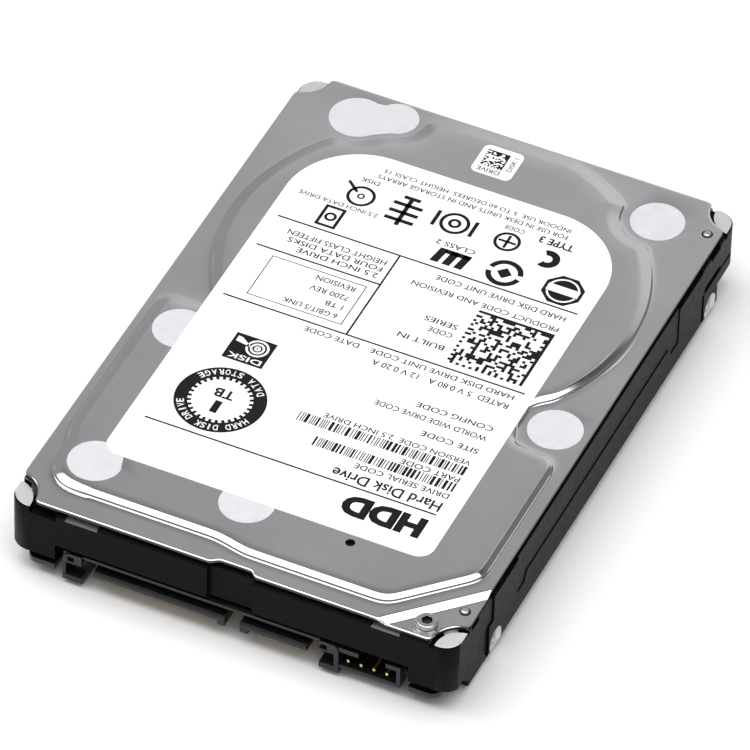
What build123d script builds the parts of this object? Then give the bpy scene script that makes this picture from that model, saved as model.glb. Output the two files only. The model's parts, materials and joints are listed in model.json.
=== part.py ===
import math
import os

from build123d import *

# A 2.5-inch hard disk drive, 15 mm class, with its printed circuit board, spindle motor,
# disks, head actuator and voice coil motor. Millimetres. The origin is the centre of the
# drive's footprint on the plane it rests on, +Y points away from the plug end and +Z points
# out of the top cover.

# ---------------------------------------------------------------- driving dimensions
WIDTH = 70.1
LENGTH = 100.45
CORNER_R = 3.0

# heights above the resting plane
BOARD_Z = 1.7            # outer face of the circuit board
BOARD_T = 1.0
BEVEL_Z = 2.0            # the side walls lean in below this height
BEVEL_IN = 0.85
PANEL_DEPTH = 0.15       # shallow recess along each side
FLOOR_Z = 4.1            # underside of the floor and of the corner posts
DECK_Z = 5.1             # top of the floor
PLUG_ROOF_Z = 6.9        # underside of the casting over the plug
SHELF_Z = 8.0            # top of the raised floor over the plug
RIM_Z = 12.8             # machined top of the casting
SHEET = 0.5              # cover sheet
LOW_Z = 13.3             # top of the cover at screws and at the lowered corner
FLANGE_Z = 13.9          # top of the cover's border
PLATEAU_Z = 14.7         # top of the cover's raised field
LABEL_T = 0.1
SEAL_T = 0.08

# disks and spindle motor
SPINDLE = (0.0, 15.4)
DISK_R = 32.5
DISK_BORE_R = 10.0
DISK_T = 0.635
DISK_PITCH = 2.0
DISK_COUNT = 4
FIRST_DISK_Z = 6.4
WELL_R = 33.0
STACK_TOP_Z = FIRST_DISK_Z + DISK_PITCH * (DISK_COUNT - 1) + DISK_T
SHAFT_R = 1.75
BEARING_GAP = 0.03
SLEEVE_R = 3.4
CUP_R = 13.3
TEETH = 9
TOOTH_AT = 7.1           # middle of a stator tooth, from the axis
TOOTH_W = 1.3
CORE_Z = (2.9, 4.5)

# actuator
PIVOT = (-8.5, -21.5)
PIVOT_SHAFT_R = 1.8
PIVOT_RACE_R = 3.2
PIVOT_SLEEVE_R = 3.8
ARM_HUB_R = 5.0
PARK_ANGLE = 21.4        # direction of the parked arm, from +X
ARM_REACH = 24.0
HEAD_REACH = 33.5
TAB_REACH = 35.6
COIL_IN_R = 9.0
COIL_OUT_R = 21.2
COIL_HALF_ANGLE = 21.0
FRAME_HALF_ANGLE = 24.0
COIL_Z = (8.6, 10.6)
YOKE_OUT_R = 22.0
YOKE_ANGLES = (184.0, 250.0)
YOKE_POSTS = [(240.0, 22.6, 0.9), (205.0, 23.2, 1.1)]     # direction, distance from the pivot, radius
LOWER_MAGNET_Z = (6.9, 8.3)
UPPER_MAGNET_Z = (10.9, 12.2)
UPPER_YOKE_TOP = 13.7
ARM_T = 0.5
BEAM_GAP = (0.26, 0.36)  # a head beam's near and far face, from the middle of its gap
GAP_MIDS = [FIRST_DISK_Z + DISK_T / 2 - DISK_PITCH / 2 + DISK_PITCH * k for k in range(DISK_COUNT + 1)]
LATCH_AT = (-29.4, -14.8)
LATCH_PIN_R = 0.7

# screws: cover (under the seals), and the visible one on the lowered corner
COVER_SCREWS = [(25.2, 42.6), (29.6, -4.1), (-27.4, -9.5), (-26.3, -39.5), (-23.9, 43.9)]
RAISED_SCREWS = COVER_SCREWS[2:4]
CORNER_SCREW = (29.2, -47.4)
DIMPLE_R = 2.1
SCREW_R = 0.88
LOW_CORNER_C = 72.5      # the lowered corner lies beyond the line y = x - C
SEAL_R = 4.08
FILL_HOLE = (-3.3, -37.7)
BREATHER = (13.2, -38.5)
PIN_R = 0.65
PINS = [(32.9, -42.6, LOW_Z + 0.35), (32.8, 43.4, FLANGE_Z + 0.3)]     # place and top of each pin
CORNERS = [(sx, sy) for sx in (-1, 1) for sy in (-1, 1)]

# circuit board
BOARD_SCREWS = [(-29.4, -45.3), (29.4, -45.3), (-28.4, -3.5), (28.4, -3.5), (2.0, -19.0)]
BOARD_SCREW_R = 0.8
HEADER = (8.6, 17.4, -39.4, -36.6)
BOARD_TOP = BOARD_Z + BOARD_T
CHIP_TOP = 3.9

# standard M3 mounting holes
HOLE_Y = (-36.225, 40.375)
BOTTOM_HOLE_X = 30.86
SIDE_HOLE_Z = 3.0
M3_TAP_R = 1.25
SIDE_HOLE_DEPTH = 2.6
BOTTOM_HOLE_DEPTH = 3.9
SINK_DEPTH = 0.5

# plug
BLADE_Z = (2.9, 4.1)
PLUG_FRONT_Y = -50.2
PLUG_BACK_Y = -44.9
PLUG_END_Y = -44.0
PLUG_TOP_Z = 6.05
CONTACT_PITCH = 1.27
POWER_X = (-21.4, -0.85)
SIGNAL_X = (1.6, 12.0)
JUMPER_X = [18.35, 20.35, 22.35, 24.35]
JUMPER_W = 0.45
JUMPER_Z = (3.25, 3.7)

HALF_W = WIDTH / 2
HALF_L = LENGTH / 2
SX, SY = SPINDLE
PX, PY = PIVOT


# ---------------------------------------------------------------- helpers
def block(x0, x1, y0, y1, z0, z1):
    return Pos((x0 + x1) / 2, (y0 + y1) / 2, (z0 + z1) / 2) * Box(x1 - x0, y1 - y0, z1 - z0)


def rod(x, y, r, z0, z1):
    return Pos(x, y, (z0 + z1) / 2) * Cylinder(r, z1 - z0)


def tube(x, y, r_out, r_in, z0, z1):
    return rod(x, y, r_out, z0, z1) - rod(x, y, r_in, z0 - 1, z1 + 1)


def rise(face, z0, z1):
    return extrude(Pos(0, 0, z0) * face, z1 - z0)


def disc(x, y, r):
    return Pos(x, y) * Circle(r)


def rect(x0, x1, y0, y1):
    return Pos((x0 + x1) / 2, (y0 + y1) / 2) * Rectangle(x1 - x0, y1 - y0)


def polygon(points):
    return make_face(Polyline(points, close=True))


def polar(centre, radius, angle):
    a = math.radians(angle)
    return (centre[0] + radius * math.cos(a), centre[1] + radius * math.sin(a))


def sector(centre, r_in, r_out, start, end):
    """A ring sector between two radii and two directions, in degrees."""
    mid = (start + end) / 2
    outer = ThreePointArc(*[polar(centre, r_out, a) for a in (start, mid, end)])
    inner = ThreePointArc(*[polar(centre, r_in, a) for a in (end, mid, start)])
    return make_face([outer, Line(outer @ 1, inner @ 0), inner, Line(inner @ 1, outer @ 0)])


def group(shapes):
    solids = [solid for shape in shapes for solid in shape.solids()]
    return Compound(children=solids)


def mirrored(shape):
    return [shape, mirror(shape, about=Plane.YZ)]


def save(name, shape):
    export_step(shape, "parts/" + name + ".step")


# ---------------------------------------------------------------- shared outlines
def cavity_outline():
    """Inside of the casting: the disk well and the actuator bay."""
    bay = polygon([(-32.4, -46.8), (21.2, -46.8), (32.4, -35.6), (32.4, 2.0), (-32.4, 2.0)])
    bay = fillet(bay.vertices(), 2.5)
    return bay + disc(SX, SY, WELL_R)


def notch_circle(sign_x, sign_y, grow=0.0):
    """Round bite that leaves a corner pad of the casting uncovered."""
    return disc(sign_x * 35.4, sign_y * 49.7, 4.5 + grow)


def cover_outline():
    face = rect(-34.7, 34.7, -49.8, 50.0)
    for sx, sy in CORNERS:
        face -= notch_circle(sx, sy)
    face = fillet(face.vertices(), 0.6)
    jog = polygon([(-3.8, -50.2), (-3.4, -49.8), (-2.2, -48.9), (2.8, -48.9), (3.6, -49.8), (4.0, -50.2)])
    return face - jog


def plateau_outline(inset=0.0):
    """Foot of the cover's raised field, or the same outline drawn in by an inset."""
    front = polygon([
        (-33.4, -2.9), (-33.4, -34.0), (-32.1, -38.0), (-32.1, -46.0), (-4.4, -46.0),
        (0.4, -47.1), (22.7, -47.1), (33.3, -36.5), (33.3, -8.9), (25.5, -8.9),
        (25.5, 0.6), (0.0, 0.6), (-23.0, -2.9)])
    radii = [((-33.4, -2.9), 2.5), ((-32.1, -46.0), 5.0), ((22.7, -47.1), 4.0), ((33.3, -36.5), 4.0),
             ((33.3, -8.9), 3.8), ((-33.4, -34.0), 6.0), ((-32.1, -38.0), 6.0), ((-4.4, -46.0), 5.0),
             ((0.4, -47.1), 5.0)]
    for (x, y), radius in radii:
        corner = front.vertices().sort_by_distance((x, y, 0))[0]
        front = fillet(corner, radius)
    if inset:
        front = offset(front, -inset)
    field = disc(0.0, 18.2, 32.4 - inset) & rect(-34, 34, -20, 49.2 - inset)
    outline = front + field
    outline -= disc(29.6, -4.1, 5.3 + inset)
    outline -= disc(25.2, 42.6, 5.3 + inset)
    outline -= rear_seal_outline(1.1 + inset)
    return outline


def rear_seal_outline(grow=0.0):
    """Two round seals joined by a waist."""
    big, small = (-23.9, 43.9), (-18.5, 46.2)
    waist = polygon([(-25.0, 47.6 + grow), (-18.0, 48.6 + grow), (-16.6, 43.8 - grow), (-21.5, 40.6 - grow)])
    return disc(*big, 4.3 + grow) + disc(*small, 3.3 + grow) + waist


def label_outline():
    face = rect(-26.7, 24.5, -37.0, 36.95)
    front = face.vertices().sort_by(Axis.Y)[:2]
    face = fillet(front, 2.4)
    rear = face.vertices().sort_by(Axis.Y)[-2:]
    return fillet(rear, 12.0)


# ---------------------------------------------------------------- casing
def rails():
    """Side rails under the floor, with the bosses of the mounting holes."""
    section = polygon([(HALF_W, FLOOR_Z + 0.5), (HALF_W, BEVEL_Z), (HALF_W - BEVEL_IN, 0.0), (33.0, 0.0),
                       (33.0, FLOOR_Z + 0.5)])
    bar = extrude(Plane.XZ * section, 60, both=True)
    profile = polygon([(-47.0, FLOOR_Z + 0.5), (-47.0, 4.3), (-44.5, BEVEL_Z), (-43.7, 0.0), (43.0, 0.0),
                       (43.0, FLOOR_Z + 0.5)])
    bar &= extrude(Plane.YZ * profile, 40, both=True)
    for y in HOLE_Y:
        pad = rect(BOTTOM_HOLE_X - 2.9, 33.5, y - 3.2, y + 3.2)
        bar += rise(fillet(pad.vertices().sort_by(Axis.X)[:2], 2.0), 0.0, FLOOR_Z + 0.5)
    return bar


def side_reliefs():
    """Shallow steps, slots and lip gaps in the outer face of a side wall."""
    panel = polygon([(-28.8, RIM_Z + 1), (-28.8, 5.6), (-26.4, 5.6), (-25.6, 7.3), (24.8, 7.3), (25.8, 5.6),
                     (28.5, 5.6), (28.5, RIM_Z + 1)])
    cut = Pos(HALF_W - PANEL_DEPTH, 0, 0) * extrude(Plane.YZ * panel, 2)
    above = RIM_Z + 1
    ends = [(-52, -38.55, -1, 7.5, 0.35), (-52, -37.1, 7.5, above, 0.25), (43.6, 52, 7.3, 7.9, 0.3)]
    slots = [(37.9, 43.6, 7.3, 8.5, 0.7), (37.1, 37.9, 1.0, 7.5, 0.35)]
    gaps = [(-44.4, -42.0, 11.8, above, 0.9), (40.0, 43.4, 11.9, above, 0.9)]
    gaps += [(-38.0, -29.0, 12.2, above, 0.8), (28.2, 37.0, 12.2, above, 0.8)]
    for y0, y1, z0, z1, depth in ends + slots + gaps:
        cut += block(HALF_W - depth, HALF_W + 1, y0, y1, z0, z1)
    return cut


def mounting_holes():
    cuts = []
    for y in HOLE_Y:
        side = HALF_W - SIDE_HOLE_DEPTH / 2
        hole = Pos(side, y, SIDE_HOLE_Z) * Rot(0, 90, 0) * Cylinder(M3_TAP_R, SIDE_HOLE_DEPTH)
        sink = Pos(HALF_W - SINK_DEPTH / 2, y, SIDE_HOLE_Z) * Rot(0, 90, 0)
        hole += sink * Cone(M3_TAP_R, M3_TAP_R + 0.75, SINK_DEPTH)
        hole += rod(BOTTOM_HOLE_X, y, M3_TAP_R, 0, BOTTOM_HOLE_DEPTH)
        hole += Pos(BOTTOM_HOLE_X, y, 0.15) * Cone(M3_TAP_R + 0.3, M3_TAP_R, 0.3)
        cuts.append(hole)
    return cuts


def front_openings():
    """Cuts in the front wall: plug bay, centre recess, machined lands and the corner pocket."""
    bay = rect(-27.5, 27.8, -52, PLUG_END_Y + 0.2)
    cut = rise(bay, -1, PLUG_ROOF_Z)
    cut += block(-3.6, 3.5, -52, -HALF_L + 0.8, PLUG_ROOF_Z - 1, RIM_Z + 1)
    for x0, x1, depth, z in [(-26.0, -20.8, 1.4, 12.3), (21.8, 26.3, 1.4, 12.3), (-31.5, -27.3, 1.2, 11.7)]:
        cut += block(x0, x1, -52, -HALF_L + depth, z, RIM_Z + 1)
    return cut


def pad_grooves():
    """Groove that sets each corner pad apart from the rim under the cover."""
    cut = []
    for sx, sy in CORNERS:
        cut.append(rise(notch_circle(sx, sy, 0.1) - notch_circle(sx, sy, -0.65), RIM_Z - 0.7, RIM_Z + 1))
    return cut


def base_casting():
    shell = extrude(Pos(0, 0, FLOOR_Z) * RectangleRounded(WIDTH, LENGTH, CORNER_R), RIM_Z - FLOOR_Z)
    shell = chamfer(shell.faces().sort_by(Axis.Z)[-1].edges(), 0.25)
    for bar in mirrored(rails()):
        shell += bar
    shell += rod(SX, SY, CUP_R, 1.2, FLOOR_Z + 0.5)
    for x, y in BOARD_SCREWS:
        shell += rod(x, y, 2.2, BOARD_Z + BOARD_T, FLOOR_Z + 0.5)
    shell += floor_ribs()

    cavity = cavity_outline()
    for x, y in COVER_SCREWS:
        cavity -= disc(x, y, 2.4)
    deck = cavity & rect(-40, 40, -43.0, 60)
    shell -= rise(deck, DECK_Z, RIM_Z + 1)
    shell -= rise(cavity & rect(-40, 40, -50, -42.9), SHELF_Z, RIM_Z + 1)
    shell -= rod(SX, SY, 12.0, 2.0, DECK_Z + 1)
    shell += rod(SX, SY, 4.4, 1.9, 5.0)
    shell -= rod(SX, SY, SLEEVE_R, 0, DECK_Z + 1)
    shell -= front_openings()
    for cut in pad_grooves():
        shell -= cut
    for cut in mirrored(side_reliefs()) + [m for hole in mounting_holes() for m in mirrored(hole)]:
        shell -= cut
    for sign in (-1, 1):
        x0, x1 = sorted((sign * (HALF_W - 1.3), sign * (HALF_W + 1)))
        shell -= block(x0, x1, 43.0, 52, 0, 5.3)
    for x, y in COVER_SCREWS:
        shell -= rod(x, y, SCREW_R + 0.02, 8.0, RIM_Z + 1)
    shell -= rod(*CORNER_SCREW, SCREW_R + 0.02, 8.0, RIM_Z + 1)
    for x, y, _ in PINS:
        shell -= rod(x, y, PIN_R, 10.5, RIM_Z + 1)
    for x, y in BOARD_SCREWS:
        shell -= rod(x, y, BOARD_SCREW_R + 0.02, 0, 4.75)
    shell -= block(HEADER[0], HEADER[1], HEADER[2], HEADER[3], FLOOR_Z - 1, DECK_Z + 1)
    shell -= rod(PX, PY, 1.5, 4.4, DECK_Z + 1)
    shell -= rod(*LATCH_AT, LATCH_PIN_R, 4.5, DECK_Z + 1)
    return shell


def floor_ribs():
    """Stiffening ribs under the rear of the floor, around the motor cup."""
    ribs = tube(SX, SY, 26.0, 25.0, 3.1, FLOOR_Z + 0.3)
    for angle in range(0, 181, 30):
        x0, y0 = polar(SPINDLE, 19.0, angle)
        spoke = Pos(x0, y0, 3.8) * Rot(0, 0, angle) * Box(13.5, 1.0, 1.4)
        ribs += spoke
    field = rise(rect(-32.5, 32.5, 12.0, 46.0), 0, 6)
    keep_off = tube(SX, SY, CUP_R + 8, CUP_R - 0.5, 0, 3.0)
    ribs = (ribs & field) - keep_off
    for sign in (-1, 1):
        ribs -= rod(sign * BOTTOM_HOLE_X, HOLE_Y[1], 5.0, 0, FLOOR_Z)
    return ribs + block(-26, 26, 44.6, 45.8, 3.1, FLOOR_Z + 0.3)


def locating_pins():
    pins = []
    for x, y, top in PINS:
        pin = rod(x, y, PIN_R, 10.5, top)
        pins.append(fillet(pin.edges().sort_by(Axis.Z)[-1], 0.35))
    return group(pins)


# ---------------------------------------------------------------- cover
def corner_step(outline):
    """Sheet that drops from the border to the lowered corner, within the cover's outline."""
    run = 0.75
    drop = FLANGE_Z - LOW_Z
    across = Plane(origin=(29.0, 29.0 - LOW_CORNER_C, 0), x_dir=(1, -1, 0), z_dir=(-1, -1, 0))
    section = polygon([(-3.0, FLANGE_Z), (0.0, FLANGE_Z), (run, LOW_Z), (14.0, LOW_Z), (14.0, LOW_Z - SHEET),
                       (run - 0.2, LOW_Z - SHEET), (-0.2, LOW_Z - SHEET + drop), (-3.0, FLANGE_Z - SHEET)])
    return extrude(across * section, 14, both=True) & rise(outline, LOW_Z - 1, FLANGE_Z + 1)


def top_cover():
    outline = cover_outline()
    reach = 60
    shift = LOW_CORNER_C + 1.4 - reach
    beyond = polygon([(shift - 2.8, -reach), (reach, 2.8 - shift), (reach, -reach)])
    plate = rise(outline - beyond, FLANGE_Z - SHEET, FLANGE_Z)
    plate += corner_step(outline)
    raised = plateau_outline()
    plate += extrude(Pos(0, 0, FLANGE_Z - 0.1) * raised, PLATEAU_Z - FLANGE_Z + 0.1, taper=50)
    plate -= rise(plateau_outline(0.9), FLANGE_Z - 1, PLATEAU_Z - SHEET)
    for x, y in COVER_SCREWS:
        top = PLATEAU_Z - SHEET / 2 if (x, y) in RAISED_SCREWS else FLANGE_Z - SHEET / 2
        plate += rod(x, y, DIMPLE_R + 0.5, LOW_Z - SHEET, top)
        plate -= rod(x, y, DIMPLE_R, LOW_Z, PLATEAU_Z + 1)
        plate -= rod(x, y, 1.0, 0, PLATEAU_Z + 1)
    plate -= rod(*CORNER_SCREW, 1.0, 0, PLATEAU_Z + 1)
    for x, y, _ in PINS:
        plate -= rod(x, y, PIN_R + 0.2, 0, PLATEAU_Z + 1)
    plate -= rod(*BREATHER, 0.72, 0, PLATEAU_Z + 1)
    return plate


def cover_gasket():
    """Rubber band on the rim, round the outside of the cavity and its screw bosses."""
    inner = cavity_outline()
    for x, y in COVER_SCREWS[1:4]:
        inner += disc(x, y, DIMPLE_R + 0.9)
    band = offset(inner, 1.25) - offset(inner, 0.35)
    return rise(band, RIM_Z, FLANGE_Z - SHEET)


def cover_screws():
    """Low-head screws that sit in the cover's dimples, under the seals."""
    screws = []
    for x, y in COVER_SCREWS:
        screw = rod(x, y, 1.7, LOW_Z, LOW_Z + 0.45) + rod(x, y, SCREW_R, 8.4, LOW_Z)
        socket = Pos(x, y, LOW_Z + 0.3) * extrude(RegularPolygon(0.8, 6), 0.3)
        screws.append(screw - socket)
    return group(screws)


def corner_screw():
    x, y = CORNER_SCREW
    head = rod(x, y, 2.1, LOW_Z, LOW_Z + 0.25) + rod(x, y, 1.6, LOW_Z + 0.2, LOW_Z + 1.1)
    head = fillet(head.edges().sort_by(Axis.Z)[-1], 0.3)
    socket = Pos(x, y, LOW_Z + 0.5) * extrude(RegularPolygon(0.85, 6), 1.0)
    return head + rod(x, y, SCREW_R, 8.4, LOW_Z + 0.1) - socket


def screw_seals():
    """Foil discs over the cover screws and one over the filling hole, trimmed at the label."""
    label = label_outline()
    clipped_corner = polygon([(-23.1, -36.9), (-21.0, -36.9), (-21.0, -40.0), (-22.15, -40.0)])
    spots = [(x, y, FLANGE_Z) for x, y in COVER_SCREWS[:2]]
    spots += [(x, y, PLATEAU_Z) for x, y in RAISED_SCREWS] + [(*FILL_HOLE, PLATEAU_Z)]
    seals = []
    for x, y, z in spots:
        foil = disc(x, y, SEAL_R)
        if z == PLATEAU_Z:
            foil -= offset(label, 0.02)
        foil -= clipped_corner
        seals.append(rise(foil, z, z + SEAL_T))
    return group(seals)


def rear_seal():
    return rise(rear_seal_outline(), FLANGE_Z, FLANGE_Z + SEAL_T)


def serial_label():
    return rise(fillet(rect(-4.0, 2.4, 40.0, 46.3).vertices(), 1.0), PLATEAU_Z, PLATEAU_Z + SEAL_T)


def breather_filter():
    x, y = BREATHER
    top = PLATEAU_Z - SHEET
    tray = Pos(x, y, top - 0.6) * extrude(RectangleRounded(8.4, 8.4, 1.2), 0.6)
    return tray - rod(x, y, 0.9, top - 0.35, top + 1)


def recirculation_filter():
    return block(29.7, 31.9, -31.0, -21.0, DECK_Z, 11.8)


# ---------------------------------------------------------------- circuit board
def pcb():
    half = [(0, -44.7), (27.7, -44.7), (27.7, -49.9), (32.3, -49.9), (32.3, -40.2),
            (27.4, -40.2), (27.4, -32.2), (32.4, -32.2), (32.4, 7.0), (0, 7.0)]
    right = polygon(half)
    board = right + mirror(right, about=Plane.YZ)
    outer = [v for v in board.vertices() if abs(abs(v.X) - 32.3) < 0.2 and v.Y < -40]
    board = fillet([v for v in outer if v.Y < -49], 1.6)
    board -= disc(SX, SY, CUP_R + 0.7)
    for x, y in BOARD_SCREWS:
        board -= disc(x, y, BOARD_SCREW_R + 0.2)
    return rise(board, BOARD_Z, BOARD_TOP)


def board_screws():
    screws = []
    for x, y in BOARD_SCREWS:
        head = rod(x, y, 1.9, BOARD_Z - 0.75, BOARD_Z)
        head = chamfer(head.edges().sort_by(Axis.Z)[0], 0.3)
        socket = Pos(x, y, BOARD_Z - 1.0) * extrude(RegularPolygon(0.8, 6), 0.6)
        screws.append(head + rod(x, y, BOARD_SCREW_R, BOARD_Z - 0.1, 4.6) - socket)
    return group(screws)


def chip(x, y, w, d):
    """A flat package with a bevelled top."""
    return chamfer(block(x - w / 2, x + w / 2, y - d / 2, y + d / 2, BOARD_TOP, CHIP_TOP).edges()
                   .sort_by(Axis.Z)[-4:], 0.12)


def motor_driver_chip():
    x, y = -14.5, -2.5
    body = chip(x, y, 7.0, 7.0)
    for k in range(10):
        shift = (k - 4.5) * 0.62
        body += block(x - 4.1, x + 4.1, y + shift - 0.12, y + shift + 0.12, BOARD_TOP, BOARD_TOP + 0.25)
        body += block(x + shift - 0.12, x + shift + 0.12, y - 4.1, y + 4.1, BOARD_TOP, BOARD_TOP + 0.25)
    return body


def board_components():
    """Capacitors, resistors, coils and the clock crystal."""
    parts = []
    for k in range(12):
        parts.append(block(-23 + 1.9 * k, -22 + 1.9 * k, -31.6, -31.1, BOARD_TOP, BOARD_TOP + 0.5))
    for k in range(8):
        parts.append(block(20.5, 21.5, -28 + 2.1 * k, -27.4 + 2.1 * k, BOARD_TOP, BOARD_TOP + 0.55))
    for x, y in [(24.0, -12.0), (-24.0, -14.0), (-24.0, -20.0)]:
        parts.append(block(x - 1.6, x + 1.6, y - 1.6, y + 1.6, BOARD_TOP, BOARD_TOP + 1.1))
    for x, y in [(-20.5, -36.5), (-16.5, -36.5), (-12.5, -36.5), (24.0, -36.0)]:
        parts.append(block(x - 1.5, x + 1.5, y - 0.9, y + 0.9, BOARD_TOP, BOARD_TOP + 1.0))
    parts.append(block(4.0, 7.2, -33.0, -30.5, BOARD_TOP, BOARD_TOP + 0.8))
    return group(parts)


def board_header():
    x0, x1, y0, y1 = HEADER
    body = block(x0 + 0.15, x1 - 0.15, y0 + 0.15, y1 - 0.15, BOARD_TOP, DECK_Z - 0.05)
    for k in range(10):
        x = x0 + 0.6 + 0.83 * k
        body -= block(x, x + 0.4, y0 + 0.6, y1 - 0.6, DECK_Z - 0.6, DECK_Z + 1)
    return body


def foam_pad():
    pad = rect(-23, 23, -33.5, 2.5) - disc(SX, SY, CUP_R + 1.5)
    for x, y in BOARD_SCREWS:
        pad -= disc(x, y, 3.0)
    return rise(pad, CHIP_TOP, FLOOR_Z)


# ---------------------------------------------------------------- plug
def contact(x, front, width=0.8):
    """One contact: flat under the blade, through the back wall, then down to the board."""
    low = BLADE_Z[0]
    side = polygon([(front, low), (front + 0.25, low - 0.14), (-43.7, low - 0.14), (-43.5, BOARD_TOP),
                    (-41.8, BOARD_TOP), (-41.8, BOARD_TOP + 0.14), (-43.3, BOARD_TOP + 0.14), (-43.5, low)])
    return Pos(x - width / 2, 0, 0) * extrude(Plane.YZ * side, width)


def contact_rows():
    strips = []
    power_mid = sum(POWER_X) / 2 - 0.2
    signal_mid = sum(SIGNAL_X) / 2 + 0.35
    for mid, count, long_ones in [(power_mid, 15, (3, 4, 11)), (signal_mid, 7, (0, 3, 6))]:
        for k in range(count):
            front = PLUG_FRONT_Y + (0.4 if k in long_ones else 0.9)
            strips.append(contact(mid + (k - (count - 1) / 2) * CONTACT_PITCH, front))
    return strips


def sata_housing():
    z0, z1 = BLADE_Z
    f, b, e = PLUG_FRONT_Y, PLUG_BACK_Y, PLUG_END_Y
    top = PLUG_TOP_Z
    body = block(-26.3, 26.5, b, e, BOARD_TOP, top)
    for x0, x1, foot0, foot1 in [(*POWER_X, POWER_X[1] - 1.1, POWER_X[1]),
                                 (*SIGNAL_X, SIGNAL_X[0], SIGNAL_X[0] + 1.2)]:
        blade = block(x0, x1, f, b + 0.1, z0, z1)
        blade = chamfer(blade.edges().filter_by(Axis.X).sort_by(Axis.Y)[:2], 0.3)
        body += blade + block(foot0, foot1, f + 0.15, b + 0.1, 2.2, z0 + 0.2)
    body += block(-26.3, 15.5, f + 0.35, b + 0.1, top - 0.5, top)
    # guide posts at both ends of the blades, hollow and open towards them
    for x0, x1, open_x, corner in [(-26.3, -23.3, -23.0, -26.3), (14.0, 17.0, 13.7, 17.0)]:
        post = block(x0, x1, f, b + 0.1, 0.6, top)
        along = post.edges().filter_by(Axis.Y)
        post = fillet([e for e in along if e.center().Z > top - 0.1 and abs(e.center().X - corner) < 0.1], 1.2)
        low_front = post.edges().filter_by(Axis.X).sort_by(lambda e: e.center().Y + e.center().Z)[0]
        post = chamfer(low_front, 0.35)
        wall = corner + (0.5 if corner < open_x else -0.7)
        body += post - block(*sorted((wall, open_x)), f - 1, f + 1.6, 1.9, 4.3)
    for x0, x1 in [(-25.5, -24.5), (14.0, 15.2)]:
        body -= block(x0, x1, f - 1, f + 1.2, 4.65, 5.5)
    # open frame round the jumper pins
    body += block(17.0, 26.5, f + 0.2, b + 0.1, 1.9, 2.5) + block(25.9, 26.5, f + 0.2, b + 0.1, 1.9, 5.8)
    for x0, x1 in [(16.8, 20.0), (24.2, 26.5)]:
        body += block(x0, x1, f + 0.2, b + 0.1, 5.0, 5.8)
    web = polygon([(26.5, 2.4), (26.5, 4.6), (27.6, 3.2), (27.6, 2.8)])
    body += Pos(0, b, 0) * extrude(Plane.XZ * web, 3.5)
    for strip in contact_rows():
        body -= strip
    for x in JUMPER_X:
        body -= block(x - JUMPER_W / 2, x + JUMPER_W / 2, b - 1, e + 1, *JUMPER_Z)
    return body


def jumper_pins():
    pins = []
    for x in JUMPER_X:
        pin = block(x - JUMPER_W / 2, x + JUMPER_W / 2, PLUG_FRONT_Y + 0.3, PLUG_END_Y, *JUMPER_Z)
        pins.append(chamfer(pin.faces().sort_by(Axis.Y)[0].edges(), 0.12))
    return group(pins)


# ---------------------------------------------------------------- spindle
def motor_sleeve():
    return tube(SX, SY, SLEEVE_R, SHAFT_R + BEARING_GAP, 1.8, 9.6)


def motor_end_cap():
    return rod(SX, SY, SLEEVE_R, 1.25, 1.8)


def motor_shaft():
    shaft = rod(SX, SY, SHAFT_R, 2.0, STACK_TOP_Z)
    return chamfer(shaft.edges().sort_by(Axis.Z)[0], 0.2)


def stator_core():
    face = disc(SX, SY, 6.0) - disc(SX, SY, 4.45)
    for k in range(TEETH):
        angle = 360 / TEETH * k
        x, y = polar(SPINDLE, TOOTH_AT, angle)
        face += Pos(x, y) * Rot(0, 0, angle) * Rectangle(2.6, TOOTH_W)
        face += sector(SPINDLE, 8.2, 9.0, angle - 15, angle + 15)
    return rise(face, *CORE_Z)


def stator_coils():
    coils = []
    for k in range(TEETH):
        angle = 360 / TEETH * k
        x, y = polar(SPINDLE, TOOTH_AT, angle)
        z = (CORE_Z[0] + CORE_Z[1]) / 2
        at = Pos(x, y, z) * Rot(0, 0, angle)
        tall = CORE_Z[1] - CORE_Z[0]
        wound = Box(1.7, TOOTH_W + 1.3, tall + 1.1)
        wound = fillet(wound.edges().filter_by(Axis.X), 0.4)
        coils.append(at * (wound - Box(3, TOOTH_W, tall)))
    return group(coils)


def spindle_hub():
    profile = [(SHAFT_R, 13.0), (DISK_BORE_R - 0.03, 13.0), (DISK_BORE_R - 0.03, FIRST_DISK_Z),
               (12.6, FIRST_DISK_Z), (12.6, 5.7), (11.4, 5.7), (11.4, 2.9), (10.3, 2.9), (10.3, 5.5),
               (3.7, 5.5), (3.7, 9.9), (SHAFT_R, 9.9)]
    hub = Pos(SX, SY, 0) * revolve(Plane.XZ * polygon(profile), Axis.Z)
    for x, y in clamp_screw_places():
        hub -= rod(x, y, 0.72, 10.8, 14)
    return hub


def clamp_screw_places():
    return [polar(SPINDLE, 6.8, 30 + 60 * k) for k in range(6)]


def disk_clamp():
    clamp = tube(SX, SY, 12.4, 2.4, STACK_TOP_Z, STACK_TOP_Z + 0.5)
    for x, y in clamp_screw_places():
        clamp -= rod(x, y, 0.75, 0, 20)
    for k in range(12):
        x, y = polar(SPINDLE, 9.6, 30 * k)
        clamp -= rod(x, y, 0.55, 0, 20)
    return clamp


def clamp_screws():
    screws = []
    top = STACK_TOP_Z + 0.5
    for x, y in clamp_screw_places():
        socket = Pos(x, y, top + 0.15) * extrude(RegularPolygon(0.6, 6), 0.5)
        screws.append(rod(x, y, 1.3, top, top + 0.35) + rod(x, y, 0.7, 11.0, top) - socket)
    return group(screws)


# ---------------------------------------------------------------- actuator
def head_sides():
    """Middle height of each gap and the side of it that a head flies on."""
    sides = []
    for k, mid in enumerate(GAP_MIDS):
        if k > 0:
            sides.append((mid, -1))
        if k < DISK_COUNT:
            sides.append((mid, 1))
    return sides


def arm_plan(points):
    """Turns a plan drawn along +X from the pivot into the parked direction."""
    return Pos(PX, PY) * Rot(0, 0, PARK_ANGLE) * points


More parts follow.
